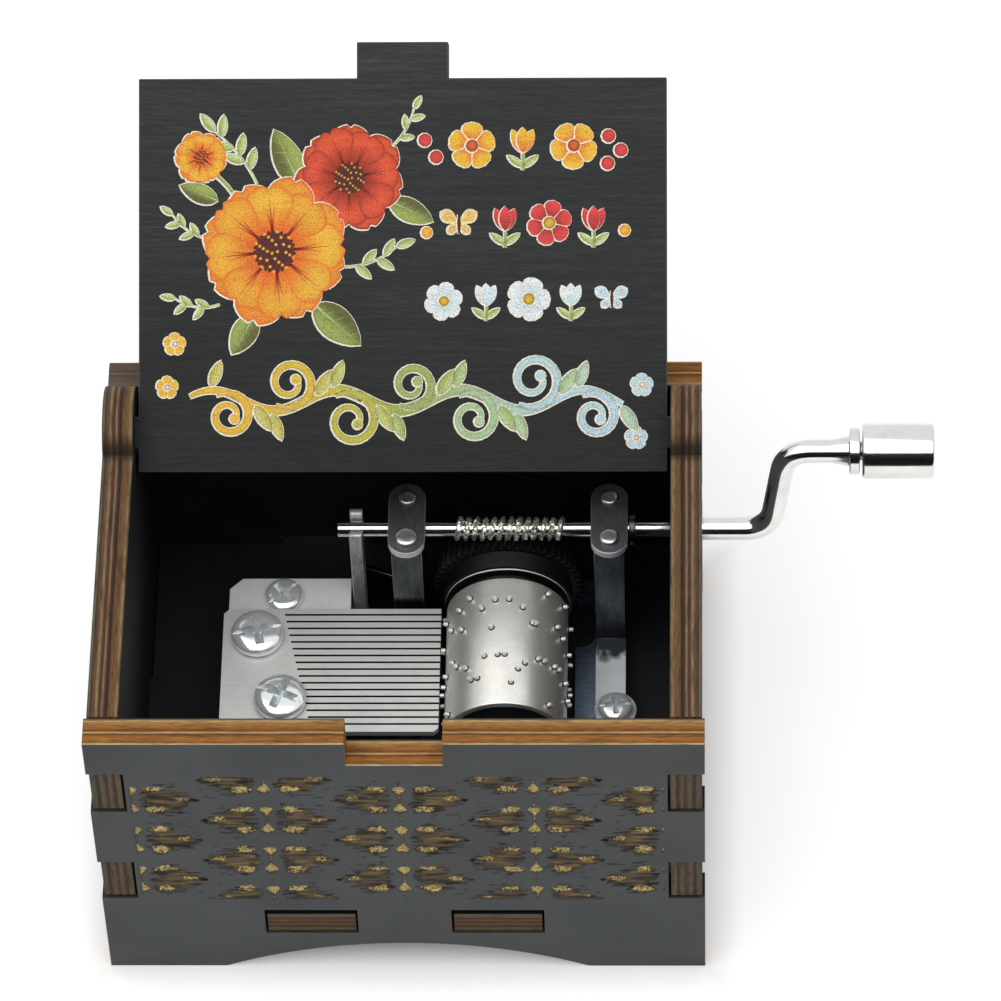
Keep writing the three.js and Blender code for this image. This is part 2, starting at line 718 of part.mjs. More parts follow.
const rightBracketMiddle = rightBracketX + bracketWidth / 2;
const leftBracketMiddle = leftBracketX + bracketWidth / 2;
const footTop = pedestalBottom + footThickness;
const rightFootScrew = [rightBracketMiddle + footScrewShift, footScrewY];
const leftFootScrew = [leftBracketMiddle + footScrewShift, footScrewY];

function washerSolid() {
  const ring = new THREE.Shape().absarc(0, 0, washerRadius, 0, 2 * Math.PI, false);
  ring.holes = [roundHole(0, 0, footScrewRadius + screwClearance)];
  return raised(ring, 0, washerThickness);
}

const washer = mesh("right_bracket_washer", washerSolid(), zinc);
washer.position.set(...rightFootScrew, footTop + seatGap);

const mountHoles = mountPlaces.map(([x, y]) =>
  barZ(mountScrewRadius + screwClearance, basePanelTop - overrun, bedTop + overrun, x, y),
);
const bedBody = joined([
  bedPlate,
  bearingLug(frontLugFace - lugThickness, frontLugFace),
  bearingLug(rearLugFace, rearLugFace + lugThickness),
]);

const movement = new THREE.Group();
movement.add(mesh("movement_bed", without(bedBody, mountHoles), nickel));
movement.add(mesh("comb_pedestal", pedestalSolid(), nickel));
movement.add(mesh("comb", combSolid(), combSteel));
movement.add(mesh("left_bracket", leftBracketSolid(), darkSteel));
movement.add(mesh("right_bracket", bracket(rightBracketX), darkSteel));
movement.add(mesh("left_strap", strapSolid(leftBracketMiddle), darkSteel));
movement.add(mesh("right_strap", strapSolid(rightBracketMiddle), darkSteel));
movement.add(washer);

const combSeat = combTop + seatGap;
const combScrewSizes = [combHeadRadius, combHeadHeight, combScrewRadius, combScrewLength];
const footScrewLength = footThickness;
movement.add(screw("comb_screw_rear", rearCombScrew, combSeat, ...combScrewSizes));
movement.add(screw("comb_screw_front", frontCombScrew, combSeat, ...combScrewSizes));
movement.add(
  screw(
    "pedestal_screw",
    pedestalScrew,
    pedestalTop + seatGap,
    pedestalHeadRadius,
    pedestalHeadHeight,
    pedestalScrewRadius,
    combScrewLength,
  ),
);
const footScrewSizes = [footHeadRadius, footHeadHeight, footScrewRadius, footScrewLength];
const overWasher = footTop + seatGap * 2 + washerThickness;
movement.add(screw("right_bracket_screw", rightFootScrew, overWasher, ...footScrewSizes));
movement.add(screw("left_bracket_screw", leftFootScrew, footTop + seatGap, ...footScrewSizes));
for (const [side, middle] of [["left", leftBracketMiddle], ["right", rightBracketMiddle]]) {
  const [rear, front] = rivetPlaces(middle);
  movement.add(rivet(`${side}_strap_rivet_rear`, rear));
  movement.add(rivet(`${side}_strap_rivet_front`, front));
}
mountPlaces.forEach((place, i) => {
  const length = plyThickness + seatGap * 2 + bedThickness;
  const made = screw(
    `mounting_screw_${i + 1}`,
    place,
    baseUnderside - seatGap,
    mountHeadRadius,
    mountHeadHeight,
    mountScrewRadius,
    length,
  );
  made.rotation.x = Math.PI;
  movement.add(made);
});

// Cylinder: a thin sleeve set with pins, plugged by the worm wheel's hub and a front disc.
const sleeveWall = 0.75;
const sleeveChamfer = 0.2;
const plugGap = 0.1;
const plugLength = 2.4;
const plugRecess = 0.6;
const ringThickness = 0.45;
const ringProud = 0.2; // of the ring over the sleeve
const hubRadius = 7;
const hubSpigot = 3; // into the sleeve
// The tune, once round the cylinder: each voice wanders about a middle note on two slow waves,
// given as shares of the comb's length and as radians to a beat.
const beats = 56;
const voices = [
  { every: 1, late: 0, middleShare: 0.66, swingShares: [0.2, 0.13], waves: [1.13, 2.9] },
  { every: 2, late: 0.5, middleShare: 0.22, swingShares: [0.15, 0.06], waves: [1.7, 0.6] },
];
const pinRadius = 0.2;
const pinTipShare = 0.6;
const pinRoot = 0.12; // sunk into the sleeve
const pinSides = 5;
const wheelRootDepth = 0.36;
const pressureAngle = THREE.MathUtils.degToRad(20);
const flankSlope = Math.tan(pressureAngle);
const toothShare = 0.4; // of the pitch, for wheel teeth and worm thread alike

const plugRadius = sleeveRadius - sleeveWall - plugGap;
const arborHole = arborRadius + plugGap;

const turnedY = (profile, sides) => {
  const points = profile.map(([radius, y]) => new THREE.Vector2(radius, y));
  return solid(new THREE.LatheGeometry(points, sides).translate(cylinderX, 0, arborHeight));
};

function sleeveSolid() {
  const inner = sleeveRadius - sleeveWall;
  const shell = turnedY(
    [
      [inner, sleeveFront],
      [sleeveRadius - sleeveChamfer, sleeveFront],
      [sleeveRadius, sleeveFront + sleeveChamfer],
      [sleeveRadius, sleeveRear - sleeveChamfer],
      [sleeveRadius - sleeveChamfer, sleeveRear],
      [inner, sleeveRear],
      [inner, sleeveFront],
    ],
    fineSides,
  );
  const flat = sleeveRadius * Math.cos(Math.PI / fineSides);
  const length = sleeveRadius + pinHeight - flat + pinRoot;
  const pins = [];
  for (const { every, late, middleShare, swingShares, waves } of voices) {
    for (let beat = 0; beat < beats; beat += every) {
      const swing = waves.reduce((sum, wave, i) => sum + swingShares[i] * Math.sin(beat * wave), 0);
      const note = Math.floor(noteCount * (middleShare + swing));
      const y = combRearEdge - (note + 0.5) * toothPitch + toothSlot / 2;
      const pin = new THREE.CylinderGeometry(pinRadius * pinTipShare, pinRadius, length, pinSides);
      pin.translate(0, flat - pinRoot + length / 2, 0).rotateX(Math.PI / 2);
      pin.rotateY((2 * Math.PI * (beat + late)) / beats).translate(cylinderX, y, arborHeight);
      pins.push(solid(pin));
    }
  }
  return joined([shell, ...pins]);
}

function wheelSolid() {
  const half = (toothShare * wormTurnPitch) / 2;
  const stations = [
    [-half - wheelRootDepth * flankSlope, -wheelRootDepth],
    [-half + addendum * flankSlope, addendum],
    [half - addendum * flankSlope, addendum],
    [half + wheelRootDepth * flankSlope, -wheelRootDepth],
  ];
  const points = [];
  for (let tooth = 0; tooth < wheelTeeth; tooth += 1) {
    for (const [along, out] of stations) {
      const angle = (2 * Math.PI * tooth) / wheelTeeth + along / wheelPitchRadius;
      const radius = wheelPitchRadius + out;
      points.push([radius * Math.sin(angle), radius * Math.cos(angle)]);
    }
  }
  const sizes = { depth: wheelThickness, bevelEnabled: false };
  const rim = new THREE.ExtrudeGeometry(outline(points), sizes);
  rim.rotateX(Math.PI / 2).translate(0, wheelThickness / 2, 0);
  const lead = wormTurnPitch / (2 * Math.PI * wormPitchRadius * wheelPitchRadius);
  const place = rim.getAttribute("position");
  const point = new THREE.Vector3();
  for (let i = 0; i < place.count; i += 1) {
    point.fromBufferAttribute(place, i);
    point.applyAxisAngle(THREE.Object3D.DEFAULT_UP, lead * point.y);
    place.setXYZ(i, point.x, point.y, point.z);
  }
  const hubFront = sleeveRear + ringThickness + plugGap * 2;
  return joined([
    solid(rim.translate(cylinderX, shaftY, arborHeight)),
    barY(hubRadius, hubFront, shaftY, cylinderX, arborHeight, fineSides),
    barY(plugRadius, sleeveRear - hubSpigot, shaftY, cylinderX, arborHeight, fineSides),
  ]).subtract(barY(arborHole, sleeveFront, rearLugFace, cylinderX, arborHeight));
}

function ringSolid() {
  const inner = plugRadius + plugGap;
  const outer = sleeveRadius + ringProud;
  const y0 = sleeveRear + plugGap;
  const y1 = y0 + ringThickness;
  return turnedY([[inner, y0], [outer, y0], [outer, y1], [inner, y1], [inner, y0]], fineSides);
}

const plugFront = sleeveFront + plugRecess;
const plugRear = plugFront + plugLength;
const plugDisc = barY(plugRadius, plugFront, plugRear, cylinderX, arborHeight, fineSides);
const plugBore = barY(arborHole, plugFront - overrun, plugRear + overrun, cylinderX, arborHeight);
const arborFront = frontLugFace - lugThickness - lugGap;
const arborRear = rearLugFace + lugThickness + lugGap;

const cylinder = new THREE.Group();
cylinder.add(mesh("pin_cylinder", sleeveSolid(), nickel));
cylinder.add(mesh("front_plug", plugDisc.subtract(plugBore), blackPlastic));
cylinder.add(mesh("cylinder_ring", ringSolid(), nickel));
cylinder.add(mesh("worm_wheel", wheelSolid(), blackPlastic));
const arborBar = barY(arborRadius, arborFront, arborRear, cylinderX, arborHeight);
cylinder.add(mesh("arbor", arborBar, nickel));

// Worm shaft: drawn on its own axis, with a right-hand thread that is cut into the shaft.
const wormTip = 0.27; // over the pitch radius
const wormCore = 0.8;
const threadRoot = 0.72; // where the thread starts, inside the core
const threadSteps = 12; // to a turn
const shaftTail = 1.3; // past the finger
const shaftJoint = 1.2; // inside the right wall's outer face
const spigotRadius = 0.6;
const spigotLength = 3;

function threadGeometry(centreX, length) {
  const turns = length / wormTurnPitch;
  const steps = Math.floor(turns * threadSteps);
  const half = (toothShare * wormTurnPitch) / 2;
  const profile = [
    [-half - (wormPitchRadius - threadRoot) * flankSlope, threadRoot],
    [half + (wormPitchRadius - threadRoot) * flankSlope, threadRoot],
    [half - wormTip * flankSlope, wormPitchRadius + wormTip],
    [-half + wormTip * flankSlope, wormPitchRadius + wormTip],
  ];
  const positions = [];
  const faces = [];
  const first = -Math.round(steps / 2);
  for (let i = 0; i <= steps; i += 1) {
    const turn = (first + i) / threadSteps;
    const angle = 2 * Math.PI * turn - Math.PI / 2;
    const middle = centreX + wormTurnPitch * (turn + 0.5);
    for (const [along, radius] of profile) {
      positions.push(middle + along, radius * Math.cos(angle), radius * Math.sin(angle));
    }
  }
  const corners = profile.length;
  for (let i = 0; i < steps; i += 1) {
    for (let k = 0; k < corners; k += 1) {
      const a = i * corners + k;
      const b = i * corners + ((k + 1) % corners);
      faces.push(a, b, a + corners, b, b + corners, a + corners);
    }
  }
  const last = steps * corners;
  faces.push(0, 2, 1, 0, 3, 2, last, last + 1, last + 2, last, last + 2, last + 3);
  const thread = new THREE.BufferGeometry();
  thread.setAttribute("position", new THREE.Float32BufferAttribute(positions, 3));
  return thread.setIndex(faces);
}

const shaftEnd = sideOuter - shaftJoint;
const shaftStart = fingerX - shaftTail;
const wormStart = cylinderX - wormLength / 2;
const wormEnd = cylinderX + wormLength / 2;

function shaftSolid() {
  const relief = wormTurnPitch;
  const threadLength = wormLength - 2 * relief;
  const boreFloor = shaftEnd - spigotLength - plugGap;
  return joined([
    barX(shaftRadius, shaftStart, wormStart, 0, 0),
    barX(wormCore, wormStart - overrun, wormEnd + overrun, 0, 0, threadSteps),
    barX(shaftRadius, wormEnd, shaftEnd, 0, 0),
    solid(threadGeometry(cylinderX, threadLength)),
  ]).subtract(barX(spigotRadius + plugGap, boreFloor, shaftEnd + overrun, 0, 0, fewSides));
}

// Collar beside the right strap.
const collarRadius = 1.9;
const collarThickness = 0.7;
const collarStart = rightBracketX + (bracketWidth + strapWidth) / 2 + runningGap;

function collarSolid() {
  const end = collarStart + collarThickness;
  const disc = barX(collarRadius, collarStart, end, 0, 0);
  return disc.subtract(barX(shaftRadius + seatGap, collarStart - overrun, end + overrun, 0, 0));
}

// Crank rod: round bar bent twice in one plane, flared into a flange where the knob starts.
const elbowStandOff = 7.3; // from the right wall's face to the lower bend's corner
const armLean = 1.6; // of the arm, along the shaft
const gripReach = 6.75; // from the upper bend's corner to the flange
const bendReach = 2.6; // of each bend along its straights
const flangeRadius = 2.5;
const flangeThickness = 1.1;
const flareLength = 1.9;
const flareRadius = 1.65;
const knobGap = 0.25; // between flange and knob
const knobChamfer = 0.25;
const knobEndWall = 1.2;
const knobBore = 1.12;
const journalRadius = 1;
const rodSteps = 54;

const lowerCorner = sideOuter + elbowStandOff;
const upperCorner = lowerCorner + armLean;
const flangeStart = upperCorner + gripReach;
const knobStart = flangeStart + flangeThickness + knobGap;

function rodPath() {
  const corners = [
    new THREE.Vector3(shaftEnd + seatGap, 0, 0),
    new THREE.Vector3(lowerCorner, 0, 0),
    new THREE.Vector3(upperCorner, 0, crankThrow),
    new THREE.Vector3(flangeStart + flangeThickness / 2, 0, crankThrow),
  ];
  const path = new THREE.CurvePath();
  let from = corners[0];
  for (let i = 1; i < corners.length - 1; i += 1) {
    const before = corners[i - 1].clone().sub(corners[i]).setLength(bendReach).add(corners[i]);
    const after = corners[i + 1].clone().sub(corners[i]).setLength(bendReach).add(corners[i]);
    path.add(new THREE.LineCurve3(from, before));
    path.add(new THREE.QuadraticBezierCurve3(before, corners[i], after));
    from = after;
  }
  path.add(new THREE.LineCurve3(from, corners.at(-1)));
  return path;
}

const turnedX = (profile, z, sides) => {
  const points = profile.map(([radius, x]) => new THREE.Vector2(radius, x));
  return solid(new THREE.LatheGeometry(points, sides).rotateZ(-Math.PI / 2).translate(0, 0, z));
};

function crankRodSolid() {
  const section = new THREE.Shape().absarc(0, 0, crankRodRadius, 0, 2 * Math.PI, false);
  const bar = new THREE.ExtrudeGeometry(section, {
    steps: rodSteps,
    extrudePath: rodPath(),
    bevelEnabled: false,
    curveSegments: fewSides,
  });
  const flange = turnedX(
    [
      [0, flangeStart - flareLength],
      [crankRodRadius, flangeStart - flareLength],
      [flareRadius, flangeStart],
      [flangeRadius, flangeStart],
      [flangeRadius, flangeStart + flangeThickness],
      [0, flangeStart + flangeThickness],
    ],
    crankThrow,
    plainSides,
  );
  const journal = barX(
    journalRadius,
    flangeStart,
    knobStart + knobLength - knobEndWall - knobGap,
    0,
    crankThrow,
  );
  const spigot = barX(spigotRadius, shaftEnd - spigotLength, shaftEnd + spigotLength, 0, 0, fewSides);
  return joined([solid(bar), flange, journal, spigot]);
}

function knobSolid() {
  const body = turnedX(
    [
      [0, knobStart],
      [knobRadius - knobChamfer, knobStart],
      [knobRadius, knobStart + knobChamfer],
      [knobRadius, knobStart + knobLength - knobChamfer],
      [knobRadius - knobChamfer, knobStart + knobLength],
      [0, knobStart + knobLength],
    ],
    0,
    fineSides,
  );
  const boreEnd = knobStart + knobLength - knobEndWall;
  return body.subtract(barX(knobBore, knobStart - overrun, boreEnd, 0, 0, fineSides));
}

const knob = new THREE.Group();
knob.add(mesh("knob", knobSolid(), chrome));
knob.position.set(0, 0, crankThrow);

const crankArm = new THREE.Group();
crankArm.add(mesh("crank_rod", crankRodSolid(), chrome));
crankArm.add(knob);
crankArm.rotation.x = crankAngle - Math.PI / 2;

const crank = new THREE.Group();
crank.add(mesh("worm_shaft", shaftSolid(), nickel));
crank.add(mesh("shaft_collar", collarSolid(), darkSteel));
crank.add(crankArm);
crank.position.set(0, shaftY, shaftHeight);

// The whole box, with the origin under the middle of its bounding box.
const lidLean = Math.PI - lidOpenAngle;
const lidRearmost =
  pivotY + (lidReach + lidTabLength) * Math.cos(lidLean) + (lidThickness / 2) * Math.sin(lidLean);
const rightmost = knobStart + knobLength;

const musicBox = new THREE.Group();
musicBox.add(frontWall, rearWall, leftWall, rightWall, basePanel, lid, movement, cylinder, crank);
musicBox.position.set((caseWidth / 2 - rightmost) / 2, (caseDepth / 2 - lidRearmost) / 2, 0);

export default musicBox;
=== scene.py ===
import math
import random

import bmesh
import bpy
from mathutils import Matrix, Vector, noise


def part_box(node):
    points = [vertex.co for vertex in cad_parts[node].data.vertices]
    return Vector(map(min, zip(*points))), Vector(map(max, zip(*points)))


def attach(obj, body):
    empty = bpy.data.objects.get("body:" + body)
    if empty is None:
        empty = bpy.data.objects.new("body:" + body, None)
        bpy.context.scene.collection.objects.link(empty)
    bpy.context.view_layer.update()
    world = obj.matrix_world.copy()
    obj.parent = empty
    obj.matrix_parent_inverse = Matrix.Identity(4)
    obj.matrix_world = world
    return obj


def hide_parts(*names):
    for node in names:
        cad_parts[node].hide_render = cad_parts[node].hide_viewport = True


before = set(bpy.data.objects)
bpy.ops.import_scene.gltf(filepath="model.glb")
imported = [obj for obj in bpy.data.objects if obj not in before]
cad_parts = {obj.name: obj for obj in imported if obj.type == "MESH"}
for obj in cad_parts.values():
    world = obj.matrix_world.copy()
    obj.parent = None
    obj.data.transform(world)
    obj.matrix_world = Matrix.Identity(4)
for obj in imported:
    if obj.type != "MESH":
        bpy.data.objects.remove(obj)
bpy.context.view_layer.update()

# The view, the table and the light: a hand-sized box stands on a white table top, seen from
# above its front with a long lens, under one big soft lamp and a pale room. A dark screen low
# in front shows only in polished metal, as the dark side of the room does.
mm = 0.001
front_low, front_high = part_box("front_wall")
rear_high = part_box("rear_wall")[1]
middle = Vector(((front_low.x + front_high.x) / 2, (front_low.y + rear_high.y) / 2, 0))


def add(tree, kind, feeds=None, **settings):
    """A new node with its settings, and with its inputs set or linked."""
    made = tree.nodes.new(kind)
    for key, value in settings.items():
        setattr(made, key, value)
    for key, value in (feeds or {}).items():
        if isinstance(value, bpy.types.NodeSocket):
            tree.links.new(value, made.inputs[key])
        else:
            made.inputs[key].default_value = value
    return made


def wired(tree, kind, feeds=None, **settings):
    """The first output of a new node."""
    return add(tree, kind, feeds, **settings).outputs[0]


def maths(tree, how, *values):
    """The result of some arithmetic."""
    return wired(tree, "ShaderNodeMath", dict(enumerate(values)), operation=how)


def ranged(tree, value, low, high, to_low=0.0, to_high=1.0):
    """A value carried from one span over to another, and held at its ends."""
    return wired(tree, "ShaderNodeMapRange", {
        "Value": value, "From Min": low, "From Max": high, "To Min": to_low, "To Max": to_high})


def object_place(tree):
    """The object's own coordinates, by axis."""
    coords = add(tree, "ShaderNodeTexCoord").outputs["Object"]
    return add(tree, "ShaderNodeSeparateXYZ", {0: coords}).outputs


def bare_tree(holder):
    """The emptied node tree of a material or world."""
    holder.use_nodes = True
    holder.node_tree.nodes.clear()
    return holder.node_tree


def seen_ray(tree):
    """1 for what the camera sees straight or in polished metal, and 0 for other light."""
    paths = add(tree, "ShaderNodeLightPath").outputs
    return maths(tree, "MAXIMUM", paths["Is Camera Ray"], paths["Is Glossy Ray"])


def as_piece(name, data):
    """A finished mesh, lamp or camera as an object in the scene."""
    made = bpy.data.objects.new(name, data)
    bpy.context.collection.objects.link(made)
    return made


def sheet(name, corners, finish):
    """A flat sheet of one finish."""
    mesh = bpy.data.meshes.new(name)
    mesh.from_pydata(corners, [], [(0, 1, 2, 3)])
    mesh.materials.append(finish)
    return as_piece(name, mesh)


lens_elevation, lens_yaw, lens_roll = (math.radians(angle) for angle in (54.42, 3.003, -2.52))
lens_place = Vector((32.55, -414.4, 629.78)) * mm
lens_back = Vector((math.sin(lens_yaw) * math.cos(lens_elevation),
                    -math.cos(lens_yaw) * math.cos(lens_elevation), math.sin(lens_elevation)))
lens_right = (-lens_back).cross(Vector((0, 0, 1))).normalized()
lens_up = lens_right.cross(-lens_back)
rolled_right = lens_right * math.cos(lens_roll) + lens_up * math.sin(lens_roll)
rolled_up = lens_up * math.cos(lens_roll) - lens_right * math.sin(lens_roll)
camera_data = bpy.data.cameras.new("camera")
camera_data.sensor_width, camera_data.lens = 36, 246.81
camera_data.clip_start, camera_data.clip_end = 0.05, 20
camera = as_piece("camera", camera_data)
camera.matrix_world = Matrix.Translation(middle + lens_place) @ Matrix(
    (rolled_right, rolled_up, lens_back)).transposed().to_4x4()
bpy.context.scene.camera = camera
bpy.context.scene.view_settings.view_transform = "Standard"

# The table glows to the camera where it lies clear of the case; within the case's footprint the glow drops, a
# painted shade under the case, and the table keeps the real shadow.
table_half, table_fade = 3.0, 4 * mm
white_table = bpy.data.materials.new("white_table")
tree = bare_tree(white_table)
place = object_place(tree)
sides = []
for axis, half in enumerate(((front_high.x - front_low.x) / 2, (rear_high.y - front_low.y) / 2)):
    away = maths(tree, "ABSOLUTE", maths(tree, "SUBTRACT", place[axis], middle[axis]))
    sides.append(ranged(tree, away, half - table_fade, half + table_fade))
clear = maths(tree, "MAXIMUM", *sides)
glow_with_painted_shade = maths(tree, "MULTIPLY", seen_ray(tree), ranged(tree, clear, 0, 1, 0.02, 0.5))
add(tree, "ShaderNodeOutputMaterial", {"Surface": wired(tree, "ShaderNodeAddShader", {
    0: wired(tree, "ShaderNodeBsdfDiffuse", {"Color": (0.86, 0.86, 0.855, 1)}),
    1: wired(tree, "ShaderNodeEmission", {"Color": (1, 1, 1, 1), "Strength": glow_with_painted_shade})})})
table_top = sheet("table_top", [(-table_half, -table_half, 0), (table_half, -table_half, 0),
                                (table_half, table_half, 0), (-table_half, table_half, 0)], white_table)

room = bpy.data.worlds.new("pale_room")
bpy.context.scene.world = room
tree = bare_tree(room)
add(tree, "ShaderNodeOutputWorld", {"Surface": wired(tree, "ShaderNodeBackground", {
    "Color": (1, 1, 1, 1), "Strength": ranged(tree, seen_ray(tree), 0, 1, 0.34, 1.0)})})

lamp_data = bpy.data.lights.new("soft_lamp", "AREA")
lamp_data.shape = "RECTANGLE"
lamp_data.size, lamp_data.size_y, lamp_data.energy = 1.6, 1.25, 9.5
soft_lamp = as_piece("soft_lamp", lamp_data)
soft_lamp.location = middle + Vector((-0.16, -0.3, 1.1))
soft_lamp.rotation_euler = (middle - soft_lamp.location).to_track_quat("-Z", "Y").to_euler()

black_cloth = bpy.data.materials.new("black_cloth")
tree = bare_tree(black_cloth)
add(tree, "ShaderNodeOutputMaterial", {
    "Surface": wired(tree, "ShaderNodeBsdfDiffuse", {"Color": (0.02, 0.02, 0.022, 1)})})
screen_half, screen_front, screen_foot, screen_top = 0.5, -0.19, 0.001, 0.235
dark_screen = sheet("dark_screen", [
    (-screen_half, screen_front, screen_foot), (screen_half, screen_front, screen_foot),
    (screen_half, screen_front, screen_top), (-screen_half, screen_front, screen_top)], black_cloth)
dark_screen.visible_camera = dark_screen.visible_diffuse = False
dark_screen.visible_shadow = dark_screen.visible_transmission = False


# Base panel: 3 mm plywood sprayed black on both faces. Its laser-cut tabs pass through the slots
# in the walls, so their ends show the brown layers of the wood from the front, sides and back.
flat_angle, edge_angle = math.radians(0.5), math.radians(33)


def softened(node, name, ease, across):
    """A copy of a CAD node with whole flat faces and eased edges. Each point keeps how far
    through the board it lies on the axis across, and each eased face is marked as a rim."""
    low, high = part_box(node)
    work = bmesh.new()
    work.from_mesh(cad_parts[node].data)
    bmesh.ops.remove_doubles(work, verts=work.verts, dist=1e-6)
    bmesh.ops.dissolve_limit(work, angle_limit=flat_angle, verts=work.verts, edges=work.edges)
    rim = work.faces.layers.float.new("rim")
    sharp = [edge for edge in work.edges
             if len(edge.link_faces) == 2 and edge.calc_face_angle() > edge_angle]
    rounded = bmesh.ops.bevel(work, geom=sharp, offset=ease, segments=2, profile=0.5,
                              affect="EDGES", clamp_overlap=True)
    for face in rounded["faces"]:
        face[rim] = 1
        face.smooth = True
    axis = "xyz".index(across[-1])
    depth = work.verts.layers.float.new("across")
    for point in work.verts:
        share = (point.co[axis] - low[axis]) / (high[axis] - low[axis])
        point[depth] = 1 - share if across[0] == "-" else share
    mesh = bpy.data.meshes.new(name)
    bmesh.ops.triangulate(work, faces=[face for face in work.faces if len(face.verts) > 4])
    work.to_mesh(mesh)
    work.free()
    return as_piece(name, mesh)


def finish_faces(piece, finishes, choose):
    """Gives each face the finish that choose names for its normal and centre."""
    order = list(finishes)
    for name in order:
        piece.data.materials.append(finishes[name])
    for face in piece.data.polygons:
        face.material_index = order.index(choose(face.normal, face.center))


def tone(red, green, blue):
    """A colour as read on screen, from 0 to 255, in Blender's linear values."""
    def linear(level):
        level /= 255
        return level / 12.92 if level <= 0.04045 else ((level + 0.055) / 1.055) ** 2.4
    return (linear(red), linear(green), linear(blue), 1)


def material(name, **constants):
    """A new material with some constants; returns it with its tree."""
    made = bpy.data.materials.new(name)
    made.use_nodes = True
    for key, value in constants.items():
        made.node_tree.nodes["Principled BSDF"].inputs[key.replace("_", " ")].default_value = value
    return made, made.node_tree


def dressed(finish, colour, height=None, strength=0.0, distance=0.0):
    """Feeds a material its colour and, if it has one, its relief; returns it."""
    tree = finish.node_tree
    shader = tree.nodes["Principled BSDF"]
    tree.links.new(colour, shader.inputs["Base Color"])
    if height is not None:
        relief = {"Height": height, "Strength": strength, "Distance": distance}
        tree.links.new(wired(tree, "ShaderNodeBump", relief), shader.inputs["Normal"])
    return finish


def factor(red, green, blue):
    """A colour that another one is multiplied by."""
    return (red, green, blue, 1)


def ramp(tree, value, stops, colour=tone):
    """A colour ramp of (place, red, green, blue) stops."""
    made = add(tree, "ShaderNodeValToRGB", {"Fac": value})
    elements = made.color_ramp.elements
    while len(elements) < len(stops):
        elements.new(0.5)
    for element, stop in zip(elements, stops):
        element.position = stop[0]
    for element, stop in zip(elements, stops):
        element.color = colour(*stop[1:])
    return made.outputs[0]


def blend(tree, amount, under, over, how="MIX"):
    """One colour laid over another."""
    feeds = {0: amount, 6: under, 7: over}
    return add(tree, "ShaderNodeMix", feeds, data_type="RGBA", blend_type=how).outputs[2]


def carried(tree, name, part="Fac"):
    """What the points or faces of a mesh carry under a name, such as across, rim or cut."""
    return add(tree, "ShaderNodeAttribute", attribute_name=name).outputs[part]


def over_rims(tree, colour, share, rim_colour):
    """A colour with another one showing on the eased edges."""
    return blend(tree, maths(tree, "MULTIPLY", carried(tree, "rim"), share), colour, rim_colour)


def group_tree(name, kind, inputs, output):
    """An empty node group with named sockets; returns it with its inner ends."""
    made = bpy.data.node_groups.new(name, kind)
    for socket, of, value in inputs:
        fresh = made.interface.new_socket(socket, in_out="INPUT", socket_type=f"NodeSocket{of}")
        if value is not None:
            fresh.default_value = value
    made.interface.new_socket(output[0], in_out="OUTPUT", socket_type=f"NodeSocket{output[1]}")
    return made, made.nodes.new("NodeGroupInput").outputs, made.nodes.new("NodeGroupOutput").inputs


# Noise drawn out along one axis makes wood grain, sawn edges, scorching and brushed metal.
streaks, given, result = group_tree("streaks", "ShaderNodeTree", [
    ("Along", "Vector", (0.1, 1, 1)), ("Scale", "Float", 4000.0), ("Detail", "Float", 3.0),
    ("Low", "Float", 0.35), ("High", "Float", 0.65)], ("Value", "Float"))
drawn = wired(streaks, "ShaderNodeVectorMath", {
    0: add(streaks, "ShaderNodeTexCoord").outputs["Object"], 1: given["Along"]}, operation="MULTIPLY")
lines = wired(streaks, "ShaderNodeTexNoise", {
    "Vector": drawn, "Scale": given["Scale"], "Detail": given["Detail"]})
streaks.links.new(ranged(streaks, lines, given["Low"], given["High"]), result["Value"])


def streak(tree, scale, along=(1, 1, 1), low=0.3, high=0.7, detail=3.0):
    """The streaks group, set for one use."""
    return wired(tree, "ShaderNodeGroup", {
        "Along": along, "Scale": scale, "Low": low, "High": high, "Detail": detail}, node_tree=streaks)


def ply_edge(name, layers, scorch, along):
    """The sawn edge of plywood: its layers across the board, streaked along the cut and
    scorched by the laser in patches."""
    made, tree = material(name, Roughness=0.75, Specular_IOR_Level=0.3)
    wander = ranged(tree, streak(tree, 900, along, 0.2, 0.8), 0, 1, -0.02, 0.02)
    wood = ramp(tree, maths(tree, "ADD", carried(tree, "across"), wander), layers)
    fibre = streak(tree, 7000, along, 0.3, 0.72, 5.0)
    fibre_shade = [(0, 0.62, 0.58, 0.54), (0.55, 0.95, 0.95, 0.95), (1, 1.18, 1.16, 1.12)]
    wood = blend(tree, 1.0, wood, ramp(tree, fibre, fibre_shade, factor), "MULTIPLY")
    burn = streak(tree, 1100, tuple(2.2 * part for part in along), 0.52, 0.7, 5.0)
    wood = blend(tree, maths(tree, "MULTIPLY", burn, scorch), wood, tone(34, 26, 20))
    return dressed(made, over_rims(tree, wood, 0.35, tone(58, 44, 32)), fibre, 0.5, 0.04 * mm)


def board_paint(name, low_tone, high_tone, roughness, along, depth):
    """Thin sprayed paint over wood grain, lighter on the eased corners."""
    made, tree = material(name, Roughness=roughness, Specular_IOR_Level=0.28)
    grain = streak(tree, 2600, along, detail=4.0)
    cloudy = maths(tree, "MULTIPLY", maths(tree, "ADD", grain, streak(tree, 160, detail=2.0)), 0.5)
    colour = ramp(tree, cloudy, [(0.15, *low_tone), (0.85, *high_tone)])
    speck = wired(tree, "ShaderNodeTexNoise", {
        "Vector": add(tree, "ShaderNodeTexCoord").outputs["Object"], "Scale": 9000, "Detail": 2.0})
    return dressed(made, over_rims(tree, colour, 0.3, tone(96, 90, 84)),
                   maths(tree, "ADD", grain, speck), 0.35, depth)


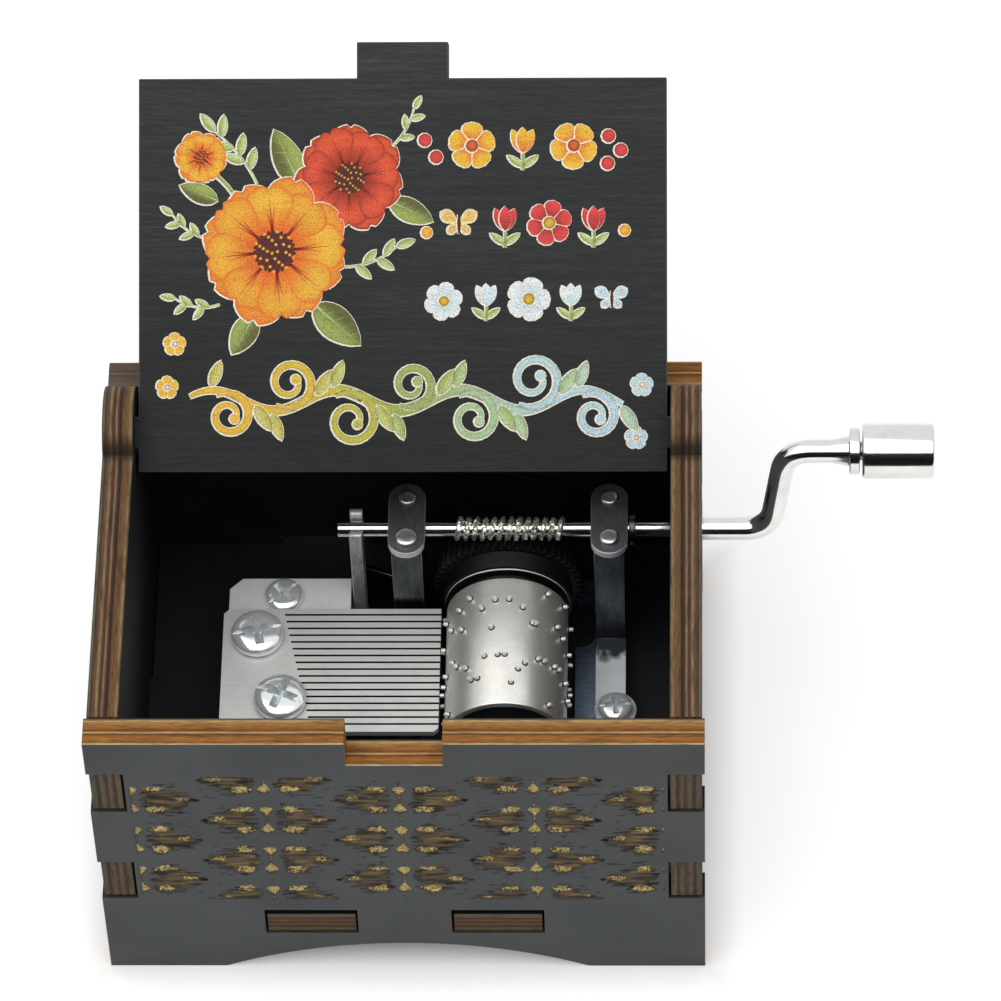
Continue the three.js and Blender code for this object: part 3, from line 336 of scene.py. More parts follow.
ply_ease, flat_face = 0.1 * mm, 0.7
inside_black = board_paint("inside_black", (15, 16, 19), (27, 28, 32), 0.62, (0.12, 1, 1), 0.03 * mm)
base_edge = ply_edge("base_edge", [
    (0.0, 88, 76, 58), (0.16, 104, 90, 70), (0.24, 66, 40, 28), (0.4, 110, 80, 58), (0.5, 84, 46, 32),
    (0.62, 112, 84, 62), (0.74, 70, 44, 32), (0.84, 112, 98, 78), (1.0, 96, 86, 68)],
    0.35, (0.14, 0.14, 1))
base_board = softened("base_panel", "base_board", ply_ease, "+z")
finish_faces(base_board, {"black": inside_black, "edge": base_edge},
             lambda normal, centre: "black" if abs(normal.z) > flat_face else "edge")
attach(base_board, "case")
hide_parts("base_panel")


# Rear wall: the same plywood, sprayed dark grey outside and black inside. It is lower than the
# others, so that the lid can lean back over it.
def colour_laid_over(finish, amount, colour):
    """Lays a colour over the one that a material has."""
    base = finish.node_tree.nodes["Principled BSDF"].inputs["Base Color"]
    dressed(finish, blend(finish.node_tree, amount, base.links[0].from_socket, colour))


outside_grey = board_paint("outside_grey", (76, 79, 82), (88, 90, 94), 0.68, (0.2, 0.2, 1), 0.02 * mm)
wall_edge = ply_edge("wall_edge", [
    (0.0, 216, 196, 150), (0.055, 204, 178, 126), (0.085, 150, 96, 42), (0.24, 176, 120, 54),
    (0.36, 150, 98, 42), (0.39, 104, 64, 28), (0.42, 120, 76, 34), (0.445, 206, 166, 108),
    (0.5, 190, 146, 88), (0.53, 104, 64, 30), (0.56, 136, 88, 40), (0.7, 170, 116, 54),
    (0.85, 182, 136, 78), (0.88, 200, 168, 118), (0.93, 178, 148, 104), (0.96, 96, 70, 44),
    (1.0, 84, 62, 42)], 0.5, (0.1, 1, 0.1))
left_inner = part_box("left_wall")[1].x
right_inner, right_end = (corner.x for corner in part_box("right_wall"))
# The rear wall's top edge turns grey towards the left side wall.
greyed_edge = wall_edge.copy()
greyed_edge.name = "greyed_edge"
grey_reach = 9 * mm
tree = greyed_edge.node_tree
greying = ranged(tree, object_place(tree)["X"], left_inner, left_inner + grey_reach, 0.75, 0.0)
colour_laid_over(greyed_edge, greying, tone(78, 80, 80))
# Faces in the slots are dark: partly laser scorch, partly painted shade.
slot_char_and_shade = ply_edge("slot_char_and_shade", [
    (0.0, 74, 64, 50), (0.12, 60, 46, 34), (0.3, 44, 32, 24), (0.48, 70, 50, 34), (0.56, 42, 30, 22),
    (0.78, 56, 40, 28), (0.9, 34, 26, 20), (1.0, 52, 42, 32)], 0.9, (0.12, 1, 0.12))
rear_board = softened("rear_wall", "rear_board", ply_ease, "-y")

# Its slots and ends close on the side walls' tabs, apart from a line of shadow.
slot_ease, slot_play, end_trim, slot_side = 0.25 * mm, 0.03 * mm, 0.27 * mm, 0.4 * mm
for point in rear_board.data.vertices:
    if right_inner - slot_side < point.co.x < right_inner:
        point.co.x += slot_ease - slot_play
    elif left_inner < point.co.x < left_inner + slot_side:
        point.co.x -= slot_ease - slot_play
    elif point.co.x > right_end:
        point.co.x -= end_trim
end_reach, top_band = rear_high.x - middle.x - 1 * mm, 0.3 * mm


def edge_or_slot(centre, top):
    """Sawn faces on a wall's top and ends keep their layers, and those in slots are darker: laser scorch with
    painted shade.
    """
    return "edge" if centre.z > top - top_band or abs(centre.x - middle.x) > end_reach else "slot"


finish_faces(rear_board, {"grey": outside_grey, "black": inside_black, "edge": greyed_edge,
                          "slot": slot_char_and_shade},
             lambda normal, centre: "grey" if normal.y > flat_face else "black" if normal.y < -flat_face
             else edge_or_slot(centre, rear_high.z))
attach(rear_board, "case")
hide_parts("rear_wall")


# Side walls: plywood again, each with a hump that holds the lid's pivot, tabs that sit in the
# end walls' open slots, and on the right a hole for the crank. Their sawn edges are smoked dark.
side_edge = ply_edge("side_edge", [
    (0.0, 92, 92, 80), (0.07, 120, 110, 88), (0.1, 70, 54, 40), (0.15, 92, 68, 48), (0.24, 118, 90, 62),
    (0.27, 150, 128, 96), (0.32, 140, 116, 84), (0.35, 96, 62, 44), (0.43, 82, 50, 36),
    (0.46, 136, 112, 82), (0.5, 140, 118, 88), (0.53, 88, 58, 42), (0.6, 46, 30, 22),
    (0.64, 56, 36, 26), (0.68, 112, 80, 52), (0.86, 124, 92, 58), (0.9, 150, 126, 90),
    (0.95, 142, 118, 84), (1.0, 74, 62, 48)], 0.6, (1, 0.1, 0.1))
tree = side_edge.node_tree
# The sawn edge is darker across the foot of the hump.
hump_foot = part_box("right_wall")[0].y + 36.7 * mm
from_foot = maths(tree, "ABSOLUTE", maths(tree, "SUBTRACT", object_place(tree)["Y"], hump_foot))
colour_laid_over(side_edge, ranged(tree, from_foot, 0.2 * mm, 1.3 * mm, 0.85, 0.0), tone(30, 22, 16))
tab_end = ply_edge("tab_end", [
    (0.0, 88, 84, 72), (0.14, 98, 90, 74), (0.22, 52, 42, 32), (0.38, 112, 98, 78), (0.52, 74, 54, 40),
    (0.64, 116, 98, 76), (0.76, 56, 42, 32), (0.88, 118, 104, 82), (1.0, 92, 82, 66)],
    0.55, (1, 1, 0.12))
tab_reach, slot_depth = 20 * mm, 0.4 * mm
for side, outward in (("left", -1), ("right", 1)):
    board = softened(f"{side}_wall", f"{side}_board", ply_ease, "+x" if side == "left" else "-x")
    finish_faces(board, {"grey": outside_grey, "black": inside_black, "edge": side_edge, "tab": tab_end,
                         "slot": slot_char_and_shade},
                 lambda normal, centre: "tab" if abs(normal.y) > flat_face
                 and abs(centre.y - middle.y) > tab_reach
                 else "slot" if abs(normal.x) < flat_face and centre.z < front_high.z - slot_depth
                 else "edge" if abs(normal.x) < flat_face
                 else "grey" if normal.x * outward > 0 else "black")
    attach(board, "case")
    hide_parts(f"{side}_wall")


# Front wall: grey-painted plywood with a notch for the lid's tab. A laser has cut a half-drop
# lattice of leaf sprays and seed drops through the paint into the tan wood below, so the cuts
# are a fraction of a millimetre deep, streaked along the scan and scorched at their rims.
lattice_left, lattice_right, lattice_low, lattice_high = -27.95, 28.05, 13.2, 37.2
column_first, column_step, row_step = -27.6, 13.95, 7.65
column_count, row_tops, row_counts = 5, (32.6, 36.4), (3, 4)
spray_wide, spray_high = 8.6, 3.8
drop_middle, drop_wide, drop_ahead, drop_behind, stalk_wide, stalk_high = 1.85, 0.72, 0.6, 1.05, 0.16, 1.0
leaf_start, leaf_foot, leaf_shoulder, leaf_end, leaf_half, leaf_taper = 1.0, 1.5, 3.3, 6.6, 2.6, 0.7
oval_across, oval_up, oval_wide, oval_high = 2.55, 1.98, 1.08, 0.56
tip_across, tip_wide, tip_high = 5.25, 0.82, 0.44
rib_start, rib_end, rib_wide = 5.2, 7.1, 0.16
burn_across, burn_radius, burn_stretch = 6.75, 0.27, 1.3
dash_across, dash_up, dash_fade, dash_start = 6.2, 2.7, 0.9, 1.6
cut_depth, grid_step, border_gap, border_fade = 0.24, 0.15, 0.15, 0.3


def ripple(*place):
    """Smooth noise at a place, around 0."""
    return noise.noise(Vector(place))


def held(value):
    """A value kept between 0 and 1."""
    return max(0.0, min(1.0, value))


def lattice(x, z):
    """How deep, how tan and how scorched the front is at a point, in millimetres, each 0 to 1."""
    sway, fray = ripple(x * 0.5, z * 1.4, 3.1), ripple(x * 0.6, z * 4.6, 7.7)
    speck, fibre = ripple(x * 5.5, z * 5.5, 2.2), ripple(x * 0.42, z * 3.1, 11.3)
    cut = tan = char = 0.0
    column = round((x - column_first) / column_step)
    for k in range(max(0, column - 1), min(column_count, column + 2)):
        line = column_first + k * column_step
        ax = abs(x - column_first - k * column_step)
        top = row_tops[k % 2]
        row = round((top - z) / row_step)
        for j in range(max(0, row - 1), min(row_counts[k % 2], row + 2)):
            az = abs(z - top + j * row_step)
            if ax > spray_wide or az > spray_high:
                continue
            own = ripple(k * 3.7 + (1 if x > line else -1), j * 5.1, 0.7)
            aw, zw = ax + 0.2 * sway, az + 0.12 * sway
            # Two seed drops on the middle line, pointing at each other.
            apart = az - drop_middle
            wide = (drop_wide * math.sqrt(max(0, 1 - (apart / drop_ahead) ** 2)) if apart > 0
                    else drop_wide * max(0, 1 + apart / drop_behind) ** 0.8)
            if ax < wide + 0.12 * speck:
                cut, tan = 1.0, max(tan, 0.76 + 0.8 * speck)
            elif ax < stalk_wide and az < stalk_high:
                cut, tan = max(cut, 0.5), max(tan, 0.2)
            # A leaf on each side, streaked along the scan and frayed at its edge.
            if leaf_start < aw < leaf_end:
                foot = leaf_foot + 2.2 * fray
                body = (leaf_half * max(0, min(1, (aw - foot) / 0.3)) if aw < leaf_shoulder
                        else leaf_half - leaf_taper * (aw - leaf_shoulder))
                inside = body - zw + 1.7 * fray if aw > foot else 0
                if inside > 0:
                    cut = max(cut, min(1, inside * 2.5) * 0.9)
                    tan = max(tan, 0.14 + 0.42 * max(0, fibre) + 0.1 * speck)
                    if fibre < -0.16 or (inside < 0.3 and fray < -0.05):
                        char = max(char, min(0.8, 0.3 - 1.5 * fibre))
            # Two pale ovals at the leaf's foot, a paler spot at its tip and a burnt dot beyond it.
            oval = ((aw - oval_across - 0.3 * own) / oval_wide) ** 2 + ((az - oval_up) / oval_high) ** 2
            if oval < 0.82 + 0.9 * fray + 0.9 * speck:
                cut, tan, char = 1.0, max(tan, 0.72 + 1.3 * speck), 0.0
            spot = ((aw - tip_across - 0.4 * own) / tip_wide) ** 2 + (az / tip_high) ** 2
            if spot < 0.8 + 1.4 * fray + 0.6 * speck:
                cut, tan, char = 1.0, max(tan, 0.52 + 1.2 * speck), 0.0
            elif rib_start < aw < rib_end and az < rib_wide and fray > -0.1:
                cut, tan = 1.0, max(tan, 0.5)
            if math.hypot((aw - burn_across - 0.5 * own) / burn_stretch, az) < burn_radius + 0.15 * sway:
                char = 1.0
            # Burnt dashes round the leaf.
            near = 1 - max(0.0, max(aw - dash_across, az - dash_up) / dash_fade)
            dash = ripple(x * 0.8 + 40, z * 3.7, 1.3)
            if 0 < near and cut < 0.3 and dash > 0.44 + 0.14 * (1 - near) and aw > dash_start:
                char = max(char, min(0.9, (dash - 0.38) * 6))
    edge = min(x - lattice_left, lattice_right - x, z - lattice_low, lattice_high - z)
    fade = held((edge - border_gap) / border_fade)
    return cut * fade, held(tan) * fade, char * fade


columns = int((lattice_right - lattice_left) / grid_step)
rows = int((lattice_high - lattice_low) / grid_step)
front_plane = front_low.y
relief = bmesh.new()
layers = [relief.verts.layers.float.new(name) for name in ("cut", "tan", "char")]
grid = []
for i in range(columns + 1):
    x = lattice_left + (lattice_right - lattice_left) * i / columns
    grid.append([])
    for j in range(rows + 1):
        z = lattice_low + (lattice_high - lattice_low) * j / rows
        facts = lattice(x, z)
        rough = 0.5 + 0.5 * ripple(x * 3.5, z * 9, 5)
        sunk = cut_depth * facts[0] * (0.65 + 0.35 * rough)
        point = relief.verts.new((middle.x + x * mm, front_plane + sunk * mm, z * mm))
        for layer, fact in zip(layers, facts):
            point[layer] = fact
        grid[i].append(point)
for i in range(columns):
    for j in range(rows):
        corners = (grid[i][j], grid[i + 1][j], grid[i + 1][j + 1], grid[i][j + 1])
        relief.faces.new(corners).smooth = True
border = [grid[i][0] for i in range(columns)] + [grid[columns][j] for j in range(rows)]
border += [grid[i][rows] for i in range(columns, 0, -1)] + [grid[0][j] for j in range(rows, 0, -1)]
pocket_floor = front_plane + 0.6 * mm
sunk_ring = [relief.verts.new((point.co.x, pocket_floor, point.co.z)) for point in border]
for a in range(len(border)):
    b = (a + 1) % len(border)
    relief.faces.new((border[a], sunk_ring[a], sunk_ring[b], border[b]))
relief.faces.new(sunk_ring)
bmesh.ops.recalc_face_normals(relief, faces=relief.faces)
relief_mesh = bpy.data.meshes.new("front_relief")
relief.to_mesh(relief_mesh)
relief.free()
front_relief = as_piece("front_relief", relief_mesh)

# The board has a shallow pocket, which the relief fills.
front_board = softened("front_wall", "front_board", ply_ease, "+y")
pocket_mesh = bpy.data.meshes.new("pocket")
pocket_mesh.from_pydata(
    [(middle.x + x * mm, y, z * mm) for x in (lattice_left, lattice_right)
     for y in (front_plane - 1 * mm, pocket_floor) for z in (lattice_low, lattice_high)],
    [], [(0, 1, 3, 2), (4, 6, 7, 5), (0, 4, 5, 1), (2, 3, 7, 6), (0, 2, 6, 4), (1, 5, 7, 3)])
pocket = as_piece("pocket", pocket_mesh)
hollow = front_board.modifiers.new("pocket", "BOOLEAN")
hollow.operation, hollow.object, hollow.solver = "DIFFERENCE", pocket, "EXACT"
shapes = bpy.context.evaluated_depsgraph_get()
hollowed = bpy.data.meshes.new_from_object(front_board.evaluated_get(shapes))
front_board.modifiers.clear()
front_board.data = hollowed
bpy.data.objects.remove(pocket)
both = [front_board, front_relief]
with bpy.context.temp_override(active_object=front_board, object=front_board, selected_objects=both,
                               selected_editable_objects=both):
    bpy.ops.object.join()

front_paint, tree = material("front_paint", Roughness=0.66, Specular_IOR_Level=0.28)
cut, tan, char = (carried(tree, name) for name in ("cut", "tan", "char"))
paint = ramp(tree, streak(tree, 120), [(0, 73, 76, 77), (1, 83, 86, 87)])
scan = streak(tree, 2600, (0.16, 1, 1), 0.32, 0.7, 4.0)
bare = ramp(tree, tan, [(0.0, 68, 60, 48), (0.2, 100, 84, 58), (0.45, 148, 122, 74),
                        (0.75, 212, 186, 116), (1.0, 246, 228, 158)])
bare = blend(tree, scan, blend(tree, 0.4, bare, tone(62, 50, 38)), bare)
opened = ranged(tree, cut, 0.25, 0.6)
greying = maths(tree, "MULTIPLY", ranged(tree, cut, 0.02, 0.3), 0.45)
sooty = maths(tree, "MULTIPLY", greying, maths(tree, "SUBTRACT", 1.0, opened))
colour = blend(tree, sooty, blend(tree, opened, paint, bare), tone(48, 44, 40))
colour = over_rims(tree, blend(tree, char, colour, tone(16, 15, 14)), 0.3, tone(98, 96, 92))
fine = streak(tree, 5200, (0.4, 1, 1))
dressed(front_paint, colour,
        maths(tree, "MULTIPLY_ADD", fine, 0.2, maths(tree, "MULTIPLY", scan, opened)), 0.4, 0.05 * mm)

front_board.data.materials.clear()
notch_floor, seam = 39.05 * mm, 0.01 * mm
finish_faces(front_board, {"paint": front_paint, "black": inside_black, "edge": wall_edge,
                           "slot": slot_char_and_shade},
             lambda normal, centre: "paint" if centre.y < pocket_floor + seam and normal.y < -0.2
             else "black" if normal.y > flat_face else edge_or_slot(centre, notch_floor))
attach(front_board, "case")
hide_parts("front_wall")


# Lid: a plywood flap on two square ears, black all over, leaning back on its pivot with its
# tab on top. It is drawn here as it lies in its own plane: across, up from the pivot, and out
# from the face that shows when it is open.
lid_low, lid_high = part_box("lid_panel")
lean = math.radians(180 - 145.3)
up_lid = Vector((0, math.cos(lean), math.sin(lean)))
out_lid = Vector((0, -math.sin(lean), math.cos(lean)))
lid_thickness, lid_reach, lid_tab_length = 3.2, 37.6, 3.85
lid_length, half_lid = (lid_reach + lid_tab_length) * mm, lid_thickness / 2 * mm
lid_foot = Vector((middle.x, lid_high.y - up_lid.y * lid_length + out_lid.y * half_lid,
                   lid_high.z - up_lid.z * lid_length - out_lid.z * half_lid))
lid_board = softened("lid_panel", "lid_board", ply_ease, "+z")
for point, item in zip(lid_board.data.vertices, lid_board.data.attributes["across"].data):
    item.value = 0.5 - (point.co - lid_foot).dot(out_lid) / (lid_thickness * mm)

lid_black, tree = material("lid_black", Roughness=0.58, Specular_IOR_Level=0.28)
long_grain = streak(tree, 2100, (0.045, 1, 1), detail=5.0)
short_grain = streak(tree, 4800, (0.12, 1, 1), 0.34, 0.68, 4.0)
grain = maths(tree, "MULTIPLY", maths(tree, "ADD", long_grain, short_grain), 0.38)
grain = maths(tree, "MULTIPLY_ADD", streak(tree, 90, (0.5, 1, 1), detail=2.0), 0.24, grain)
colour = ramp(tree, grain, [(0.1, 24, 26, 28), (0.5, 40, 42, 43), (0.9, 60, 62, 62)])
# The lid's black is painted darker towards its lower, pivot end and lighter towards its top: painted light.
painted_light_up_lid = ranged(tree, object_place(tree)["Z"], lid_low.z, lid_high.z, 0.3, 1.05)
# Its eased edges are painted a pale violet: a painted highlight.
colour = over_rims(tree, blend(tree, 1.0, colour, painted_light_up_lid, "MULTIPLY"), 0.5, tone(104, 98, 124))
dressed(lid_black, colour, grain, 0.45, 0.05 * mm)
lid_edge = ply_edge("lid_edge", [
    (0.0, 70, 66, 58), (0.15, 84, 72, 56), (0.22, 40, 30, 24), (0.45, 78, 58, 42), (0.55, 48, 34, 26),
    (0.75, 80, 60, 44), (0.85, 44, 34, 28), (1.0, 66, 58, 48)], 0.6, (0.12, 1, 1))
finish_faces(lid_board, {"black": lid_black, "edge": lid_edge},
             lambda normal, centre: "black" if abs(normal.dot(out_lid)) > flat_face else "edge")
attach(lid_board, "lid")
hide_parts("lid_panel")


# Lid print: inks laid on the black paint in thin raised flakes. A cream ground goes down first,
# a little larger than what it carries, then the colours, with the fine grain of sprayed dots.
# Open blossoms and leaves at the left, rows of small motifs at the right, a scroll below.
print_inks = bmesh.new()
ink_layer = print_inks.verts.layers.float_color.new("ink")
cream, gold, ember = tone(240, 235, 215), tone(236, 190, 62), tone(226, 104, 38)
coral, brick, umber = tone(226, 84, 58), tone(150, 44, 30), tone(66, 32, 24)
moss, olive, mint = tone(160, 178, 92), tone(96, 98, 48), tone(196, 222, 158)
sky, snow, rose = tone(190, 220, 230), tone(232, 238, 240), tone(222, 74, 74)
ink_step, ink_lift, ink_root = 0.004, 5, -0.06
ground_right, ground_up, side_shade = -0.06, -0.03, 0.22


def inked(x, up, out, colour):
    """A point of ink at a place on the lid's printed face, out from it by so much."""
    made = print_inks.verts.new(lid_foot + Vector((x, 0, 0)) * mm + up_lid * up * mm
                                + out_lid * (lid_thickness / 2 + out) * mm)
    made[ink_layer] = colour
    return made


def spot_from(foot, angle, ahead, aside=0.0):
    """The spot so far ahead of a foot at an angle, and so far to the left of that line."""
    return (foot[0] + math.cos(angle) * ahead - math.sin(angle) * aside,
            foot[1] + math.sin(angle) * ahead + math.cos(angle) * aside)


def mixed(under, over, share):
    """A colour between two, share of the way."""
    share = held(share)
    return tuple(a + (b - a) * share for a, b in zip(under, over))


def flake(outline, hub, level, shade, rings=(1.0, 0.86, 0.5)):
    """One closed flake of ink round a hub, coloured point by point by shade(x, up, share)."""
    loops, top = [], (level + ink_lift) * ink_step
    for share in (*rings, 0.0):
        around = outline if share else outline[:1]
        spots = [(hub[0] + (x - hub[0]) * share, hub[1] + (up - hub[1]) * share) for x, up in around]
        loops.append([inked(*spot, top, shade(*spot, share)) for spot in spots])
    below = [inked(*spot, ink_root, cream) for spot in outline]
    for at in range(len(outline)):
        after = (at + 1) % len(outline)
        print_inks.faces.new((below[at], below[after], loops[0][after], loops[0][at]))
        for outer, inner in zip(loops, loops[1:-1]):
            print_inks.faces.new((outer[at], outer[after], inner[after], inner[at]))
        print_inks.faces.new((loops[-2][at], loops[-2][after], loops[-1][0]))
    print_inks.faces.new(below[::-1])


def grounded(outline, hub, level, shade, ground=0.13):
    """A flake on its cream ground, which shows all round and a little more at the lower left."""
    wider = []
    for at, (x, up) in enumerate(outline):
        (x0, up0), (x1, up1) = outline[at - 1], outline[(at + 1) % len(outline)]
        long = math.hypot(x1 - x0, up1 - up0) or 1.0
        wider.append((x + (up1 - up0) / long * ground + ground_right,
                      up - (x1 - x0) / long * ground + ground_up))
    flake(wider, hub, level - 1, lambda x, up, share: cream)
    flake(outline, hub, level, shade)


def leaf_form(foot, angle, length, width, blunt=1.0, notch=0.0, steps=9):
    """The outline of a petal or leaf from its foot, anticlockwise, and the middle of its width.
    Its spots crowd towards the tip when it is blunt, so that it stays round."""
    crowd, swell = (1.7, 0.6) if blunt > 2 else (1.0, 0.75)
    right, left = [spot_from(foot, angle, 0.0)], []
    for step in range(1, steps):
        share = 1 - (1 - step / steps) ** crowd
        half = width / 2 * math.sin(math.pi * share ** blunt) ** swell
        right.append(spot_from(foot, angle, length * share, -half))
        left.append(spot_from(foot, angle, length * share, half))
    right.append(spot_from(foot, angle, length * (1 - notch)))
    return right + left[::-1], spot_from(foot, angle, length * 0.55)


def ring_form(x, up, radius, sides=10):
    """A round outline, anticlockwise."""
    return [spot_from((x, up), 2 * math.pi * at / sides, radius) for at in range(sides)]


def dot(x, up, radius, level, edge, core, ground=0.1):
    """A round spot of ink, on a cream ground unless that is zero."""
    put = grounded if ground else flake
    put(ring_form(x, up, radius), (x, up), level, lambda x, up, share: mixed(edge, core, 1.3 - share))


def stroke(path, widths, level, shade, ground=0.13):
    """A drawn line along a path of (x, up), as a closed ribbon of ink with darker sides."""
    count = len(path)
    for grow, step in ((ground, level - 1), (0.0, level)) if ground else ((0.0, level),):
        top, rows = (step + ink_lift) * ink_step, []
        for at, (x, up) in enumerate(path):
            (x0, up0), (x1, up1) = path[max(at - 1, 0)], path[min(at + 1, count - 1)]
            long, share = math.hypot(x1 - x0, up1 - up0), at / (count - 1)
            half = widths(share) / 2 + grow
            side = (-(up1 - up0) / long * half, (x1 - x0) / long * half)
            if grow:
                x, up = x + ground_right, up + ground_up
            right, left = (x - side[0], up - side[1]), (x + side[0], up + side[1])
            full = cream if grow else shade(share)
            dark = full if grow else mixed(full, umber, side_shade)
            rows.append([inked(*right, top, dark), inked(x, up, top, full), inked(*left, top, dark),
                         inked(*left, ink_root, dark), inked(*right, ink_root, dark)])
        for row, after in zip(rows, rows[1:]):
            for at in range(5):
                print_inks.faces.new((row[at], row[(at + 1) % 5], after[(at + 1) % 5], after[at]))
        print_inks.faces.new(rows[0][::-1])
        print_inks.faces.new(rows[-1])


def blossom(x, up, radius, petals, level, edge, core, throat, heart, turn=0.0):
    """An open flower: two rows of broad petals with creases, round a dotted heart."""
    for row, (length, shift) in enumerate(((1.0, 0.5), (0.93, 0.0))):
        for petal in range(petals):
            angle = turn + 2 * math.pi * (petal + shift) / petals
            reach = radius * (length + growing.uniform(-0.05, 0.04))
            wide = 2 * math.pi * radius / petals * growing.uniform(0.74, 0.86)
            outline, hub = leaf_form((x, up), angle, reach, wide, 2.3, 0.07, 14)
            dark = 0.3 * growing.random() + 0.3 * (1 - row)

            def shade(px, pu, share):
                out = math.hypot(px - x, pu - up) / radius
                body = mixed(throat, mixed(core, edge, dark), (out - 0.3) / 0.38)
                return mixed(body, throat, 0.9 * max(0, share - 0.8) / 0.2)

            at_level = level + 2 * row + petal / petals
            (grounded if row == 0 else flake)(outline, hub, at_level, shade)
            for lean, end in ((-0.1, 0.66), (0.0, 0.8), (0.1, 0.66)):
                crease = []
                for s in (0, 0.33, 0.67, 1):
                    out = reach * (0.25 + (end - 0.25) * s)
                    bend = spot_from((x, up), angle, out * (1 - s))
                    crease.append(spot_from(bend, angle + lean, out * s))
                stroke(crease, lambda s: radius * 0.03 * (1.15 - s), at_level + 0.5 / petals,
                       lambda s: mixed(brick, throat, s), 0)
    flake(ring_form(x, up, radius * 0.26, 28), (x, up), level + 4.5,
          lambda px, pu, share: mixed(heart, brick, 0.6 * abs(share - 0.5)), (1.0, 0.75, 0.4))
    for ring in range(5):
        count, out = 5 + 6 * ring, radius * (0.04 + 0.057 * ring)
        for at in range(count):
            spot = spot_from((x, up), 2 * math.pi * (at + 0.4 * ring) / count, out)
            tints = (umber, heart) if (at + ring) % 3 else (throat, gold)
            dot(*spot, radius * 0.022, level + 5, *tints, 0)


def leaf(x, up, angle, length, width, level, light, dark):
    """A leaf of two tones with a pale rib and side veins."""
    foot = (x, up)

    def shade(px, pu, share):
        across = ((pu - up) * math.cos(angle) - (px - x) * math.sin(angle)) / width
        return mixed(mixed(light, dark, 0.5 + 2.2 * across), olive, 0.5 * max(0, share - 0.8) / 0.2)

    grounded(*leaf_form(foot, angle, length, width, 0.85), level, shade)
    rib = [spot_from(foot, angle, length * s) for s in (0.02, 0.3, 0.6, 0.93)]
    stroke(rib, lambda s: width * 0.05 * (1.2 - s), level + 1, lambda s: mixed(mint, light, s), 0)
    for share in (0.25, 0.42, 0.59, 0.75):
        for side in (-1, 1):
            half = width * 0.42 * math.sin(math.pi * share ** 0.85) ** 0.75 * side
            vein = [spot_from(foot, angle, length * (share + 0.09 * s), half * s * 0.85)
                    for s in (0.05, 0.55, 1.0)]
            stroke(vein, lambda s: width * 0.03 * (1.2 - s), level + 1,
                   lambda s: mixed(mint, dark, 0.6), 0)


def sprig(x, up, angle, length, bend, leaves, level, light, dark):
    """A thin curved stem with small leaves in turn on its sides."""
    path = [spot_from((x, up), angle + bend * step / 8, length * step / 8) for step in range(9)]
    stroke(path, lambda s: 0.24 - 0.1 * s, level, lambda s: mixed(light, cream, s * 0.5), 0.06)
    for at in range(leaves):
        share = (at + 1.2) / (leaves + 0.2)
        splay = (0.75 if at % 2 else -0.75) if at < leaves - 1 else 0
        leaf(*path[min(8, round(8 * share))], angle + bend * share + splay,
             length * 0.33, length * 0.13, level + 1, light, dark)


def bud(x, up, size, level, edge, core):
    """A closed flower of three petals on a short stem between two leaves."""
    stroke([(x, up - size), (x + 0.05, up - size * 0.5), (x, up - size * 0.1)],
           lambda s: size * 0.13, level, lambda s: moss, 0.08)
    for side in (-1, 1):
        leaf(x, up - size * 0.85, math.pi / 2 - side * 0.95, size * 0.85, size * 0.3, level, mint, moss)
    for step, (lean, width) in enumerate(((0.42, 0.5), (-0.42, 0.5), (0.0, 0.56))):
        form = leaf_form((x, up - size * 0.25), math.pi / 2 + lean, size * 1.15, size * width)
        grounded(*form, level + 2 + 2 * step,
                 lambda px, pu, share: mixed(edge, core, (pu - up + 0.3 * size) / size), 0.07)


def small_blossom(x, up, size, level, edge, core, heart, petals=5, turn=0.3):
    """A little flower of round petals."""
    for petal in range(petals):
        aim = turn + 2 * math.pi * petal / petals
        form = leaf_form((x, up), aim, size, size * 4.2 / petals, 1.9, 0.04)
        grounded(*form, level + 2 * petal / petals, lambda px, pu, share: mixed(
            edge, core, 1.5 * math.hypot(px - x, pu - up) / size - 0.4 * share), 0.1)
    dot(x, up, size * 0.26, level + 4, umber, heart, 0.07)


def butterfly(x, up, size, level, wing, spot):
    """Four round wings and a dark body."""
    for aim, share in ((0.55, 1.0), (math.pi - 0.55, 1.0), (-0.75, 0.72), (math.pi + 0.75, 0.72)):
        length = size * share
        grounded(*leaf_form((x, up), aim, length, length * 0.62, 1.5), level,
                 lambda px, pu, share: mixed(wing, spot, share - 0.45), 0.06)
        dot(*spot_from((x, up), aim, length * 0.62), size * 0.09, level + 1, umber, spot, 0)
    stroke([(x, up - size * 0.5), (x, up), (x, up + size * 0.4)],
           lambda s: size * 0.16 * (0.6 + s * (1 - s) * 2), level + 2, lambda s: umber, 0.05)


growing = random.Random(4417)
for fact in ((-15.4, 26.4, 2.0, 7.2, 0.25, 6), (-20.6, 20.6, 2.95, 4.6, -0.4, 5),
             (-19.4, 13.6, 3.5, 4.8, -0.5, 5), (-6.4, 17.6, -0.05, 6.2, 0.4, 5),
             (-1.0, 30.4, 0.75, 4.6, 0.3, 4)):
    sprig(*fact, 1, mint, moss)
stroke([(-16.6, 23.6), (-18.6, 26.2), (-21.0, 28.6)], lambda s: 0.32, 2, lambda s: moss)
for fact in ((-9.4, 13.6, -0.72, 6.6, 3.5), (-15.6, 12.6, -2.1, 5.0, 2.7), (-10.8, 26.0, 2.0, 6.8, 3.1),
             (-1.4, 24.6, -0.45, 5.2, 2.5), (-19.6, 24.6, 2.75, 4.4, 2.0)):
    leaf(*fact, 4, moss, olive)
blossom(-5.6, 27.0, 5.8, 7, 8, ember, coral, brick, umber, 0.2)
blossom(-13.6, 19.2, 7.9, 8, 16, ember, gold, ember, umber, 0.1)
blossom(-21.4, 29.2, 2.8, 6, 16, ember, gold, ember, brick, 0.4)

